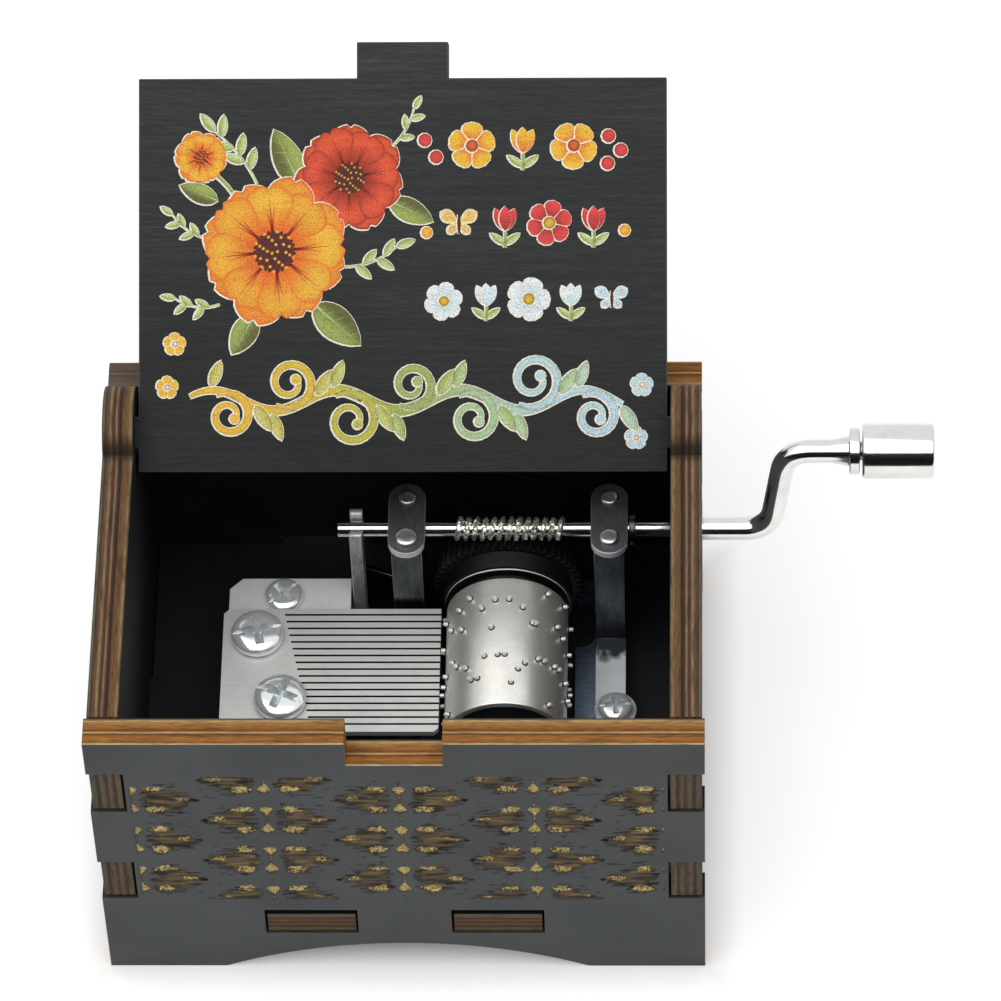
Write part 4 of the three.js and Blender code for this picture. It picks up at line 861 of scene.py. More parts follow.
small_blossom(7.4, 30.4, 2.6, 4, ember, gold, ember)
bud(12.8, 30.2, 2.4, 4, ember, gold)
small_blossom(18.2, 30.4, 2.6, 4, ember, gold, ember, 5, 0.9)
for spot in ((2.4, 31.0), (3.6, 29.2), (21.9, 31.4), (23.2, 29.9), (21.8, 28.5)):
    dot(*spot, 0.72, 4, brick, rose)
butterfly(6.0, 22.2, 2.3, 4, gold, cream)
bud(10.9, 21.9, 2.3, 4, brick, rose)
small_blossom(15.6, 22.2, 2.5, 4, brick, rose, gold, 6)
bud(20.3, 21.9, 2.3, 4, brick, rose)
dot(2.6, 21.2, 0.6, 4, ember, gold)
dot(23.6, 21.4, 0.6, 4, ember, gold)
small_blossom(4.4, 13.9, 2.1, 4, sky, snow, gold, 6)
bud(8.9, 13.9, 2.1, 4, sky, snow)
small_blossom(13.4, 14.1, 2.4, 4, sky, snow, gold, 5, 0.0)
bud(17.9, 13.9, 2.1, 4, sky, snow)
butterfly(22.2, 14.2, 2.0, 4, sky, snow)

vine_tones = (gold, gold, tone(206, 196, 76), moss, tone(176, 206, 160), sky, sky)
vine_left, vine_right, vine_up, vine_swing, vine_waves = -22.6, 23.4, 3.4, 1.1, 3.5
curl_count, curl_turns, curl_start, curl_steps = 7, 1.42, math.pi / 2 + 0.55, 30


def scroll_tone(share):
    """Gold at the left, through green, to pale blue at the right."""
    place = min(held(share), 0.999) * (len(vine_tones) - 1)
    return mixed(vine_tones[int(place)], vine_tones[int(place) + 1], place - int(place))


def vine_spot(share):
    """A point of the scroll's main stem."""
    return (vine_left + (vine_right - vine_left) * share,
            vine_up + vine_swing * math.sin(2 * math.pi * vine_waves * share + 0.4))


stroke([vine_spot(at / 90) for at in range(91)], lambda s: 0.4 + 0.75 * math.sin(math.pi * s) ** 0.6, 6,
       scroll_tone)
for curl in range(curl_count):
    share = (curl + 0.3) / (curl_count + 0.1)
    side = 1 if curl % 2 else -1
    foot_x, foot_up = vine_spot(share)
    ring = 2.35 + 0.25 * (curl % 3)
    hub = (foot_x + 2.2, foot_up + side * (ring + 0.3))
    path = [spot_from(hub, side * (curl_turns * 2 * math.pi * step / curl_steps - curl_start),
                      ring * (1.06 - 0.76 * step / curl_steps)) for step in range(curl_steps + 1)]
    stroke(path, lambda s: min(0.3 + 5 * s, 0.95) - 0.5 * s, 7, lambda s: scroll_tone(share + 0.06))
    dot(*path[-1], 0.52, 9, scroll_tone(share), scroll_tone(share + 0.1))
    light, dark = (mixed(tint, scroll_tone(share), 0.45) for tint in (mint, moss))
    leaf(foot_x + 5.0, foot_up + side * 1.6, side * 1.0, 3.2, 1.3, 8, light, dark)
    leaf(foot_x + 0.3, foot_up - side * 0.4, -side * 1.2, 3.0, 1.2, 8, light, dark)
for x, up, colour in ((-25.0, 4.8, gold), (25.4, 5.0, sky), (-24.2, 9.4, gold), (24.8, -0.6, sky)):
    small_blossom(x, up, 1.25, 4, mixed(colour, ember, 0.15), colour, cream)

bmesh.ops.recalc_face_normals(print_inks, faces=print_inks.faces)
print_mesh = bpy.data.meshes.new("lid_print")
print_inks.to_mesh(print_mesh)
print_inks.free()
lid_print = as_piece("lid_print", print_mesh)
print_ink, tree = material("print_ink", Roughness=0.5, Specular_IOR_Level=0.3)
sprayed = streak(tree, 9000, low=0.36, high=0.62, detail=2.0)
speckles = [(0.0, 0.82, 0.7, 0.66), (0.5, 1.3, 1.3, 1.3), (1.0, 1.5, 1.5, 1.5)]
speckle = ramp(tree, sprayed, speckles, factor)
grain = ramp(tree, streak(tree, 2400, (0.1, 1, 1)), [(0.0, 0.86, 0.86, 0.86), (1.0, 1, 1, 1)], factor)
colour = blend(tree, 1.0, carried(tree, "ink", "Color"), speckle, "MULTIPLY")
dressed(print_ink, blend(tree, 1.0, colour, grain, "MULTIPLY"), sprayed, 0.5, 0.03 * mm)
print_mesh.materials.append(print_ink)
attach(lid_print, "lid")


# Movement bed: a nickel-plated cast plate screwed down inside the case, with an opening under
# the cylinder and an upright lug at each end of it that carries the arbor.
def metal(name, bright, dull, roughness, along=(1, 1, 1), brushing=0.25, rim=None, scale=3000,
          metallic=1.0):
    """Plated or polished metal: fine streaks, cloudy dulling, and brighter eased edges."""
    made, tree = material(name, Metallic=metallic)
    lines = streak(tree, scale, along, 0.25, 0.75, 4.0)
    cloud = streak(tree, 210, high=0.72, detail=4.0)
    both = maths(tree, "MULTIPLY_ADD", cloud, 0.55, maths(tree, "MULTIPLY", lines, 0.45))
    colour = ramp(tree, both, [(0.1, *dull), (0.8, *bright)])
    colour = over_rims(tree, colour, 0.6, tone(*(rim or bright)))
    tree.links.new(ranged(tree, both, 0, 1, roughness * 1.25, roughness * 0.8),
                   tree.nodes["Principled BSDF"].inputs["Roughness"])
    return dressed(made, colour, lines, brushing, 0.01 * mm)


def centre_of(node, height=None):
    """The middle of a CAD node's box, or of a level through it."""
    low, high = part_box(node)
    return Vector((*((low + high) / 2).xy, (low.z + high.z) / 2 if height is None else height))


cast_nickel = metal("cast_nickel", (168, 186, 208), (100, 118, 142), 0.3, (0.3, 1, 1))
tree = cast_nickel.node_tree
axis_point = centre_of("arbor")
# Left of a line just right of the cylinder's axis the bed is painted dark: painted shade under and beside the
# cylinder.
shade_start, shade_end = axis_point.x + 4 * mm, axis_point.x + 9 * mm
painted_shade_left = ranged(tree, object_place(tree)["X"], shade_start, shade_end, 0.85, 0.0)
colour_laid_over(cast_nickel, painted_shade_left, tone(40, 44, 50))
bed = softened("movement_bed", "bed", 0.1 * mm, "+z")
finish_faces(bed, {"nickel": cast_nickel}, lambda normal, centre: "nickel")
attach(bed, "case")
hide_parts("movement_bed")


# Comb pedestal: a thick nickel-plated plate that lifts the comb to the height of the cylinder's
# axis. A tongue with a screw of its own runs out behind the comb.
satin_nickel = metal("satin_nickel", (240, 240, 238), (222, 224, 223), 0.5, (1, 0.2, 1), 0.3,
                     metallic=0.15)
pedestal = softened("comb_pedestal", "pedestal", 0.1 * mm, "+z")
finish_faces(pedestal, {"nickel": satin_nickel}, lambda normal, centre: "nickel")
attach(pedestal, "case")
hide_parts("comb_pedestal")


# Comb: one hardened steel plate, ground on top and sawn into eighteen teeth, longest at the
# rear for the low notes, with weights under the low teeth. The sides of its slots are painted near black:
# painted shade.
def mottled(name, dark, light, scale, along=(1, 1, 1), relief=0.0, **constants):
    """A dull material of two near tones, with a fine relief if it has one."""
    made, tree = material(name, **constants)
    speck = streak(tree, scale, along)
    return dressed(made, ramp(tree, speck, [(0, *dark), (1, *light)]),
                   speck if relief else None, relief, 0.02 * mm)


ground_steel = metal("ground_steel", (222, 223, 219), (203, 205, 202), 0.46, (0.25, 1, 1), 0.35,
                     metallic=0.5)
comb = softened("comb", "comb_plate", 0.07 * mm, "+z")
# Painted shade: the sides of the saw slots are near black.
slot_painted_shade = mottled("slot_painted_shade", (9, 9, 10), (24, 24, 26), 5000, (1, 1, 0.3), 0.3,
                     Roughness=0.6, Metallic=0.6)
comb_low, comb_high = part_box("comb")
comb_margin = 0.3 * mm
finish_faces(comb, {"steel": ground_steel, "slot": slot_painted_shade}, lambda normal, centre: "slot"
             if abs(normal.y) > 0.2 and comb_low.y + comb_margin < centre.y < comb_high.y - comb_margin
             else "steel")
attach(comb, "case")
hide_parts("comb")


# Brackets: two blocks of dark plated steel that hold the worm shaft, each on a foot that runs
# forward to a screw. The left one has a thin web and a forked finger for the shaft's end.
dark_plate = metal("dark_plate", (86, 89, 93), (44, 47, 52), 0.3, (1, 1, 0.25), rim=(150, 154, 158))
# The finger is painted a lighter steel than the dark plate it is cut from: painted light.
finger_painted_light = metal("finger_painted_light", (206, 208, 210), (128, 131, 135), 0.42, (1, 1, 0.25), 0.3,
                     (230, 232, 232), metallic=0.5)
foot_painted_reflection = metal("foot_painted_reflection", (252, 254, 255), (226, 232, 240), 0.3, brushing=0.1, scale=500,
                    metallic=0.1)
# The foot's top is painted near white in front, a painted reflection of the room, and dark behind a ragged
# line, a painted reflection of the lid.
tree = foot_painted_reflection.node_tree
fray = maths(tree, "MULTIPLY", streak(tree, 700, (1, 0.5, 1), detail=4.0), 2.2 * mm)
ragged = maths(tree, "ADD", object_place(tree)["Y"], fray)
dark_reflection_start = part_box("right_bracket_screw")[1].y + 5.9 * mm
colour_laid_over(foot_painted_reflection, ranged(tree, ragged, dark_reflection_start, dark_reflection_start + 1.2 * mm), tone(58, 62, 68))
foot_top = 14.6 * mm
finger_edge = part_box("left_bracket")[0].x + 1.9 * mm
for node, name in (("left_bracket", "left_post"), ("right_bracket", "right_post")):
    bracket = softened(node, name, 0.12 * mm, "+z")
    finish_faces(bracket, {"plate": dark_plate, "foot": foot_painted_reflection, "finger": finger_painted_light},
                 lambda normal, centre: "foot" if centre.z < foot_top and normal.z > 0.3
                 else "finger" if centre.x < finger_edge else "plate")
    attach(bracket, "case")
    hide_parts(node)


# Straps: stamped steel tongues with round ends, laid over the shaft in its grooves.
# Their tops are dull, and their sheared front ends are bright.
strap_steel = metal("strap_steel", (118, 120, 123), (76, 78, 81), 0.4, (1, 0.25, 1), 0.2,
                    (190, 192, 194), metallic=0.85)
sheared_steel = metal("sheared_steel", (240, 242, 242), (206, 208, 210), 0.45, (1, 1, 0.3), 0.3,
                      metallic=0.45)
for side in ("left", "right"):
    strap = softened(f"{side}_strap", f"{side}_shaft_strap", 0.24 * mm, "+z")
    finish_faces(strap, {"steel": strap_steel, "sheared": sheared_steel},
                 lambda normal, centre: "sheared" if normal.z < 0.8 and normal.y < -0.3 else "steel")
    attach(strap, "case")
    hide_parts(f"{side}_strap")


# Screws: zinc-plated pan heads with a cross recess, two through the comb, one in the pedestal's
# tongue, one in each bracket's foot, and three from below through the base into the bed.
def growth(name, sizes, finishes=("Finish",)):
    """An empty Geometry Nodes tree with named sizes and finishes; returns it with its inner ends."""
    sockets = [("Geometry", "Geometry", None)]
    sockets += [(size, "Float", value) for size, value in sizes.items()]
    sockets += [(finish, "Material", None) for finish in finishes]
    return group_tree(name, "GeometryNodeTree", sockets, ("Geometry", "Geometry"))


def named(tree, name, kind="FLOAT_VECTOR"):
    """An attribute of the points that a tree runs on."""
    made = add(tree, "GeometryNodeInputNamedAttribute", {"Name": name}, data_type=kind)
    return made.outputs["Attribute"]


def vector(tree, **parts):
    """A vector of some parts, the others being 0."""
    return wired(tree, "ShaderNodeCombineXYZ", parts)


def moved(tree, geometry, **moves):
    """Geometry moved, turned or scaled."""
    return wired(tree, "GeometryNodeTransform", {"Geometry": geometry, **moves})


def finished(tree, geometry, finish):
    """Geometry in one material."""
    return wired(tree, "GeometryNodeSetMaterial", {"Geometry": geometry, "Material": finish})


def joined(tree, *parts):
    """Several geometries as one."""
    made = add(tree, "GeometryNodeJoinGeometry")
    for part in parts:
        tree.links.new(part, made.inputs[0])
    return made.outputs[0]


def planted(tree, points, instance, **feeds):
    """One copy of a geometry on each point."""
    return wired(tree, "GeometryNodeInstanceOnPoints", {
        "Points": points, "Instance": instance, **feeds})


def turned_in_tree(tree, low, high, radius, outline):
    """A round solid on the Z axis: a line whose radius follows an outline of (share up, share
    of the radius), swept by a circle and capped."""
    line = wired(tree, "GeometryNodeCurvePrimitiveLine", {
        "Start": vector(tree, Z=low), "End": vector(tree, Z=high)})
    shape = add(tree, "ShaderNodeFloatCurve", {
        "Value": add(tree, "GeometryNodeSplineParameter").outputs["Factor"]})
    points = shape.mapping.curves[0].points
    while len(points) < len(outline):
        points.new(0.5, 0.5)
    for point, spot in zip(points, outline):
        point.location = spot
        point.handle_type = "VECTOR"
    shape.mapping.update()
    circle = wired(tree, "GeometryNodeCurvePrimitiveCircle", {"Resolution": 40, "Radius": 1.0})
    return wired(tree, "GeometryNodeCurveToMesh", {
        "Curve": wired(tree, "GeometryNodeResampleCurve", {"Curve": line, "Count": 33}),
        "Profile Curve": circle, "Scale": maths(tree, "MULTIPLY", shape.outputs[0], radius), "Fill Caps": True})


def grown(name, places, facts, tree, sizes):
    """Runs a tree on a set of points that carry the facts given, and keeps a plain mesh."""
    points = bpy.data.meshes.new(f"{name}_places")
    points.from_pydata(places, [], [])
    for fact, values in facts.items():
        single = isinstance(values[0], float)
        layer = points.attributes.new(fact, "FLOAT" if single else "FLOAT_VECTOR", "POINT")
        for item, value in zip(layer.data, values):
            setattr(item, "value" if single else "vector", value)
    carrier = as_piece(f"{name}_places", points)
    modifier = carrier.modifiers.new(name, "NODES")
    modifier.node_group = tree
    for item in tree.interface.items_tree:
        if item.item_type == "SOCKET" and item.in_out == "INPUT" and item.name in sizes:
            modifier[item.identifier] = sizes[item.name]
    mesh = bpy.data.meshes.new_from_object(carrier.evaluated_get(bpy.context.evaluated_depsgraph_get()))
    carrier.modifiers.clear()
    bpy.data.objects.remove(carrier)
    mesh.name = name
    mesh.set_sharp_from_angle(angle=math.radians(38))
    return as_piece(name, mesh)


pan_heads, given, result = growth("pan_heads", {
    "Recess Length": 1.2, "Recess Width": 0.25, "Recess Depth": 0.55, "Slot Width": 0.16,
    "Slot Depth": 0.2}, ("Finish", "Recess Finish"))
wedge = wired(pan_heads, "GeometryNodeMeshCone", {
    "Vertices": 4, "Radius Top": math.sqrt(0.5), "Radius Bottom": 0.3, "Depth": 1.0})
wedge = moved(pan_heads, wedge, Rotation=(0, 0, math.pi / 4))
length, width, depth = (given[f"Recess {size}"] for size in ("Length", "Width", "Depth"))
tall = maths(pan_heads, "MULTIPLY", depth, 1.1)
lifted = vector(pan_heads, Z=maths(pan_heads, "SUBTRACT", 1.0, depth))
cuts = [moved(pan_heads, wedge, Translation=lifted, Scale=vector(pan_heads, X=x, Y=y, Z=tall))
        for x, y in ((length, width), (width, length))]
deep = maths(pan_heads, "MULTIPLY", given["Slot Depth"], 2.0)
slot = wired(pan_heads, "GeometryNodeMeshCube", {
    "Size": vector(pan_heads, X=2.4, Y=given["Slot Width"], Z=deep)})
cuts.append(moved(pan_heads, slot, Translation=(0, 0, 1)))
head = finished(pan_heads, turned_in_tree(pan_heads, 0.0, 1.0, 1.0, [
    (0.0, 0.88), (0.08, 0.97), (0.16, 1.0), (0.44, 1.0), (0.57, 0.98), (0.69, 0.94), (0.79, 0.87),
    (0.88, 0.77), (0.95, 0.62), (1.0, 0.3)]), given["Finish"])
recessed = add(pan_heads, "GeometryNodeMeshBoolean", {"Mesh 1": head},
               operation="DIFFERENCE", solver="EXACT")
for cut in cuts:
    pan_heads.links.new(finished(pan_heads, cut, given["Recess Finish"]), recessed.inputs["Mesh 2"])
smooth = wired(pan_heads, "GeometryNodeSetShadeSmooth", {"Geometry": recessed.outputs[0]})
spin = vector(pan_heads, X=named(pan_heads, "flip", "FLOAT"), Z=named(pan_heads, "spin", "FLOAT"))
shank = finished(pan_heads, turned_in_tree(
    pan_heads, -1.0, 0.04, 1.0, [(0.0, 0.8), (0.05, 1.0), (1.0, 1.0)]), given["Finish"])
whole = joined(pan_heads, *(
    planted(pan_heads, given["Geometry"], part, Rotation=spin, Scale=named(pan_heads, size))
    for part, size in ((smooth, "size"), (shank, "shank"))))
real = wired(pan_heads, "GeometryNodeRealizeInstances", {"Geometry": whole})
pan_heads.links.new(real, result["Geometry"])

# The cross recess takes a darker zinc than the head: painted shade in the recess.
recess_painted_shade = metal("recess_painted_shade", (253, 255, 255), (184, 194, 196), 0.14, brushing=1.0, scale=3200,
                    metallic=0.5)
bright_zinc = metal("bright_zinc", (255, 255, 255), (244, 249, 251), 0.14, brushing=0.5, scale=1500,
                    metallic=0.55)
screw_nodes = [
    # node, head height, shank radius, turn of its cross in degrees
    ("comb_screw_rear", 1.5, 1.3, 12), ("comb_screw_front", 1.5, 1.3, -22),
    ("pedestal_screw", 1.1, 0.9, 40), ("right_bracket_screw", 1.1, 0.85, 5),
    ("left_bracket_screw", 1.1, 0.85, 30), ("mounting_screw_1", 1.2, 1.1, 18),
    ("mounting_screw_2", 1.2, 1.1, -35), ("mounting_screw_3", 1.2, 1.1, 52),
]
places, facts = [], {"size": [], "shank": [], "flip": [], "spin": []}
for node, height, shank_radius, turn in screw_nodes:
    low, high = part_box(node)
    from_below = node.startswith("mounting")
    radius = (high.y - low.y) / 2
    places.append(centre_of(node, low.z + height * mm if from_below else high.z - height * mm))
    facts["size"].append((radius, radius, height * mm))
    facts["shank"].append((shank_radius * mm, shank_radius * mm, high.z - low.z - height * mm))
    facts["flip"].append(math.pi if from_below else 0.0)
    facts["spin"].append(math.radians(turn))
case_screws = grown("case_screws", places, facts, pan_heads, {
    "Recess Length": 1.55, "Recess Width": 0.36, "Recess Depth": 0.7, "Slot Width": 0.16,
    "Slot Depth": 0.34, "Finish": bright_zinc, "Recess Finish": recess_painted_shade})
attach(case_screws, "case")
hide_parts(*[fact[0] for fact in screw_nodes])


# Rivets: two low domes through each strap, and a plain washer under the right foot's screw.
# The rivets of one strap differ a little in width, as hammered ones do.
domes, given, result = growth("rivet_domes", {
    "Radius": 1.0, "Height": 0.5, "Stem Radius": 0.6, "Stem Length": 1.85})
dome = turned_in_tree(domes, 0.0, given["Height"], given["Radius"], [
    (0.0, 0.95), (0.05, 1.0), (0.35, 0.99), (0.6, 0.95), (0.78, 0.87), (0.9, 0.76), (0.97, 0.6),
    (1.0, 0.35)])
stem = turned_in_tree(domes, maths(domes, "MULTIPLY", given["Stem Length"], -1.0),
                      maths(domes, "MULTIPLY", given["Height"], 0.3), given["Stem Radius"],
                      [(0.0, 1.0), (1.0, 1.0)])
smooth = wired(domes, "GeometryNodeSetShadeSmooth", {"Geometry": joined(domes, dome, stem)})
spread = planted(domes, given["Geometry"], smooth, Scale=named(domes, "wide"))
real = wired(domes, "GeometryNodeRealizeInstances", {"Geometry": spread})
domes.links.new(finished(domes, real, given["Finish"]), result["Geometry"])
rivet_nodes = [f"{side}_strap_rivet_{end}" for side in ("left", "right") for end in ("rear", "front")]
rivet_widths = [0.9, 1.08, 0.9, 0.95]
rivet_height = 0.5 * mm
low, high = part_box(rivet_nodes[0])
rivet_steel = metal("rivet_steel", (226, 228, 228), (122, 124, 127), 0.3, brushing=0.9, scale=2600)
strap_rivets = grown(
    "strap_rivets", [centre_of(node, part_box(node)[1].z - rivet_height) for node in rivet_nodes],
    {"wide": [(width, width, 1) for width in rivet_widths]}, domes,
    {"Radius": (high.x - low.x) / 2, "Height": rivet_height, "Stem Radius": 0.6 * mm,
     "Stem Length": high.z - low.z - rivet_height, "Finish": rivet_steel})
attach(strap_rivets, "case")
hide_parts(*rivet_nodes)


def eased(profile, ease):
    """A profile with its corners rounded, apart from those on the axis."""
    made = []
    for k, (radius, place) in enumerate(profile):
        if radius == 0:
            made.append((radius, place))
            continue
        corner = Vector((radius, place))
        before, after = Vector(profile[k - 1]), Vector(profile[(k + 1) % len(profile)])
        start, end = (corner + (near - corner).normalized() * min(ease, (near - corner).length * 0.45)
                      for near in (before, after))
        for t in (0, 0.3, 0.7, 1):
            made.append(tuple((1 - t) ** 2 * start + 2 * t * (1 - t) * corner + t * t * end))
    return made


def ring_round(work, hub, first, second, radius, sides):
    """Points in a circle round a hub, or the hub alone where the radius is 0."""
    if radius == 0:
        return [work.verts.new(hub)]
    turns = [2 * math.pi * k / sides for k in range(sides)]
    return [work.verts.new(hub + (first * math.cos(a) + second * math.sin(a)) * radius * mm)
            for a in turns]


def skinned(name, work, rings, loop=False):
    """A smooth closed piece over rings of points: round and back, or from end to end."""
    for below, above in list(zip(rings, rings[1:])) + ([(rings[-1], rings[0])] if loop else []):
        sides = max(len(below), len(above))
        for k in range(sides):
            n = (k + 1) % sides
            if len(below) == 1:
                work.faces.new((below[0], above[n], above[k]))
            elif len(above) == 1:
                work.faces.new((below[k], below[n], above[0]))
            else:
                work.faces.new((below[k], below[n], above[n], above[k]))
    for end in [] if loop else (rings[0], rings[-1]):
        if len(end) > 1:
            work.faces.new(end)
    bmesh.ops.recalc_face_normals(work, faces=work.faces)
    for face in work.faces:
        face.smooth = True
    mesh = bpy.data.meshes.new(name)
    work.to_mesh(mesh)
    work.free()
    mesh.set_sharp_from_angle(angle=math.radians(40))
    return as_piece(name, mesh)


def turned(name, centre, axis, profile, loop=False, sides=96):
    """A turned piece: its profile, of (distance from the axis, place along it) in millimetres,
    is swept round the axis through the centre."""
    work = bmesh.new()
    along = Vector([float(axis == letter) for letter in "xyz"])
    first = Vector((1, 0, 0)) if axis == "z" else Vector((0, 0, 1))
    rings = [ring_round(work, centre + along * place * mm, first, along.cross(first), radius, sides)
             for radius, place in profile]
    return skinned(name, work, rings, loop)


def banded(inner, outer, low, high):
    """The profile of a plain band round an axis."""
    return [(inner, low), (outer, low), (outer, high), (inner, high)]


low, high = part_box("right_bracket_washer")
washer = turned("foot_washer", centre_of("right_bracket_washer", low.z), "z", eased(
    banded(1.0, (high.x - low.x) / 2 / mm, 0, (high.z - low.z) / mm), 0.08), loop=True, sides=64)
washer.data.materials.append(bright_zinc)
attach(washer, "case")
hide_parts("right_bracket_washer")


# Cylinder: a thin nickel-plated brass sleeve set with small steel pins, one for each note of
# the tune, in eighteen rows that pass the tips of the comb's teeth.
sleeve_low, sleeve_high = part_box("pin_cylinder")
sleeve_centre = Vector((axis_point.x, 0, axis_point.z))
sleeve_radius, sleeve_wall, ring_gap = 6.55, 0.75, 0.55
sleeve = turned("cylinder_sleeve", sleeve_centre, "y", eased(banded(
    sleeve_radius - sleeve_wall, sleeve_radius, sleeve_low.y / mm, sleeve_high.y / mm - ring_gap), 0.18),
    loop=True, sides=144)
sleeve_nickel = metal("sleeve_nickel", (250, 248, 241), (216, 215, 209), 0.36, (1, 0.6, 1), 0.5,
                      scale=6500, metallic=0.72)
sleeve.data.materials.append(sleeve_nickel)

# Each pin stands in a low dark ring round its foot: painted shade where pin meets sleeve.
pin_rows, given, result = growth("pin_rows", {
    "Root Radius": 0.2, "Tip Radius": 0.12, "Length": 0.6, "Ring Radius": 0.3, "Ring Height": 0.2,
}, ("Finish", "Ring Finish"))
pin, dark_ring = (finished(pin_rows, wired(pin_rows, "GeometryNodeMeshCone", {
    "Vertices": count, "Radius Bottom": given[foot], "Radius Top": given[top], "Depth": given[depth]}),
    given[finish]) for count, foot, top, depth, finish in (
        (10, "Root Radius", "Tip Radius", "Length", "Finish"),
        (12, "Ring Radius", "Root Radius", "Ring Height", "Ring Finish")))
smooth = wired(pin_rows, "GeometryNodeSetShadeSmooth", {"Geometry": joined(pin_rows, pin, dark_ring)})
aim = wired(pin_rows, "FunctionNodeAlignRotationToVector", {
    "Vector": named(pin_rows, "outward")}, axis="Z")
spread = planted(pin_rows, given["Geometry"], smooth, Rotation=aim)
real = wired(pin_rows, "GeometryNodeRealizeInstances", {"Geometry": spread})
pin_rows.links.new(real, result["Geometry"])

# Two voices of the tune, each wandering over the notes on two slow waves.
beats, notes, pitch, pin_shift = 56, 18, 0.885, 0.11
comb_rear = comb_high.y / mm
voices = [(1, 0.0, 0.66, (0.2, 0.13), (1.13, 2.9)), (2, 0.5, 0.22, (0.15, 0.06), (1.7, 0.6))]
pin_height, pin_root, ring_rise = 0.55, 0.15, 0.12
places, outward = [], []
for every, late, share, swings, waves in voices:
    for beat in range(0, beats, every):
        sway = sum(swing * math.sin(beat * wave) for swing, wave in zip(swings, waves))
        note = math.floor(notes * (share + sway))
        y = comb_rear - (note + 0.5) * pitch + pin_shift
        angle = 2 * math.pi * (beat + late) / beats
        out = Vector((math.sin(angle), 0, math.cos(angle)))
        places.append(sleeve_centre + Vector((0, y * mm, 0)) + out * (sleeve_radius - pin_root) * mm)
        outward.append(out)
pin_steel = metal("pin_steel", (252, 252, 249), (236, 236, 232), 0.36, brushing=0.1, metallic=0.35)
# The ring round each pin's foot is painted dark grey: painted shade.
pin_ring_painted_shade = mottled("pin_ring_painted_shade", (50, 48, 46), (92, 90, 86), 3000, Roughness=0.5, Metallic=0.5)
pins = grown("cylinder_pins", places, {"outward": outward}, pin_rows, {
    "Root Radius": 0.27 * mm, "Tip Radius": 0.21 * mm, "Length": (pin_height + pin_root) * mm,
    "Ring Radius": 0.46 * mm, "Ring Height": (pin_root + ring_rise) * mm,
    "Finish": pin_steel, "Ring Finish": pin_ring_painted_shade})
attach(sleeve, "cylinder")
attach(pins, "cylinder")
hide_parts("pin_cylinder")


# Front plug and ring: a black plastic disc pressed into the sleeve's front end, and a bright
# ring at its rear, against the worm wheel's hub.
low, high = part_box("front_plug")
plug_radius, plug_front = (high.x - low.x) / 2 / mm, low.y / mm
plug_bore, hub_radius, dish_depth = 1.1, 2.2, 0.35
plug = turned("sleeve_plug", sleeve_centre, "y", eased(
    [(plug_bore, plug_front), (hub_radius, plug_front), (hub_radius + 0.1, plug_front + dish_depth),
     (plug_radius - 0.9, plug_front + dish_depth), (plug_radius - 0.8, plug_front),
     (plug_radius, plug_front), (plug_radius, high.y / mm), (plug_bore, high.y / mm)], 0.12), loop=True)
moulded_black = mottled("moulded_black", (9, 10, 12), (18, 19, 22), 5200, relief=0.25,
                        Roughness=0.5, Specular_IOR_Level=0.22)
# The plug takes a lighter grey than the black plastic it is moulded in: painted light on its front face.
plug_painted_light = mottled("plug_painted_light", (34, 37, 42), (54, 58, 65), 5200, Roughness=0.5)
plug.data.materials.append(plug_painted_light)
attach(plug, "cylinder")
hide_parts("front_plug")
low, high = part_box("cylinder_ring")
ring_thickness = 0.24
ring = turned("rear_ring", sleeve_centre, "y", eased(banded(
    plug_radius + 0.1, (high.x - low.x) / 2 / mm, high.y / mm - ring_thickness, high.y / mm), 0.08),
    loop=True, sides=144)
# The ring's front face, in the narrow gap behind the sleeve, takes the black plastic finish: painted shade.
finish_faces(ring, {"bright": pin_steel, "black": moulded_black},
             lambda normal, centre: "black" if normal.y < -0.5 else "bright")
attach(ring, "cylinder")
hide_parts("cylinder_ring")


# Worm wheel: moulded in black plastic with its hub, which plugs the sleeve's rear end. Its 54
# teeth lean with the worm's lead.
wheel = softened("worm_wheel", "toothed_wheel", 0.05 * mm, "+y")
finish_faces(wheel, {"black": moulded_black}, lambda normal, centre: "black")
for face in wheel.data.polygons:
    face.use_smooth = True
wheel.data.set_sharp_from_angle(angle=math.radians(24))
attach(wheel, "cylinder")
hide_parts("worm_wheel")


# Arbor: a plain steel pin through the plug and the hub, held by the bed's two lugs. It turns
# with the cylinder, and shows from no side.
low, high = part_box("arbor")
arbor = turned("arbor_pin", sleeve_centre, "y", eased(
    banded(0, 1.0, low.y / mm, high.y / mm), 0.15), sides=48)
arbor_steel = metal("arbor_steel", (206, 207, 204), (182, 184, 182), 0.25, (1, 0.3, 1), 0.2)
arbor.data.materials.append(arbor_steel)
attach(arbor, "cylinder")
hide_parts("arbor")


# Worm shaft: a bright steel rod across the movement, cut with a fine single thread over the
# wheel, with a thin collar outside the right strap.
shaft_low, shaft_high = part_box("worm_shaft")
shaft_axis = centre_of("shaft_collar")
shaft_centre = Vector((0, shaft_axis.y, shaft_axis.z))
shaft_radius, worm_core, worm_tip, worm_pitch = 0.87, 0.86, 1.22, 0.907
socket_radius, socket_depth, worm_half, worm_step = 0.7, 3.1, 6.2, 0.1
start, end, worm_middle = shaft_low.x / mm, shaft_high.x / mm, axis_point.x / mm
shaft = turned("worm_rod", shaft_centre, "x", eased([
    (0, start), (shaft_radius, start), (shaft_radius, worm_middle - worm_half - worm_step),
    (worm_core, worm_middle - worm_half), (worm_core, worm_middle + worm_half),
    (shaft_radius, worm_middle + worm_half + worm_step), (shaft_radius, end), (socket_radius, end),
    (socket_radius, end - socket_depth), (0, end - socket_depth)], 0.12), sides=48)

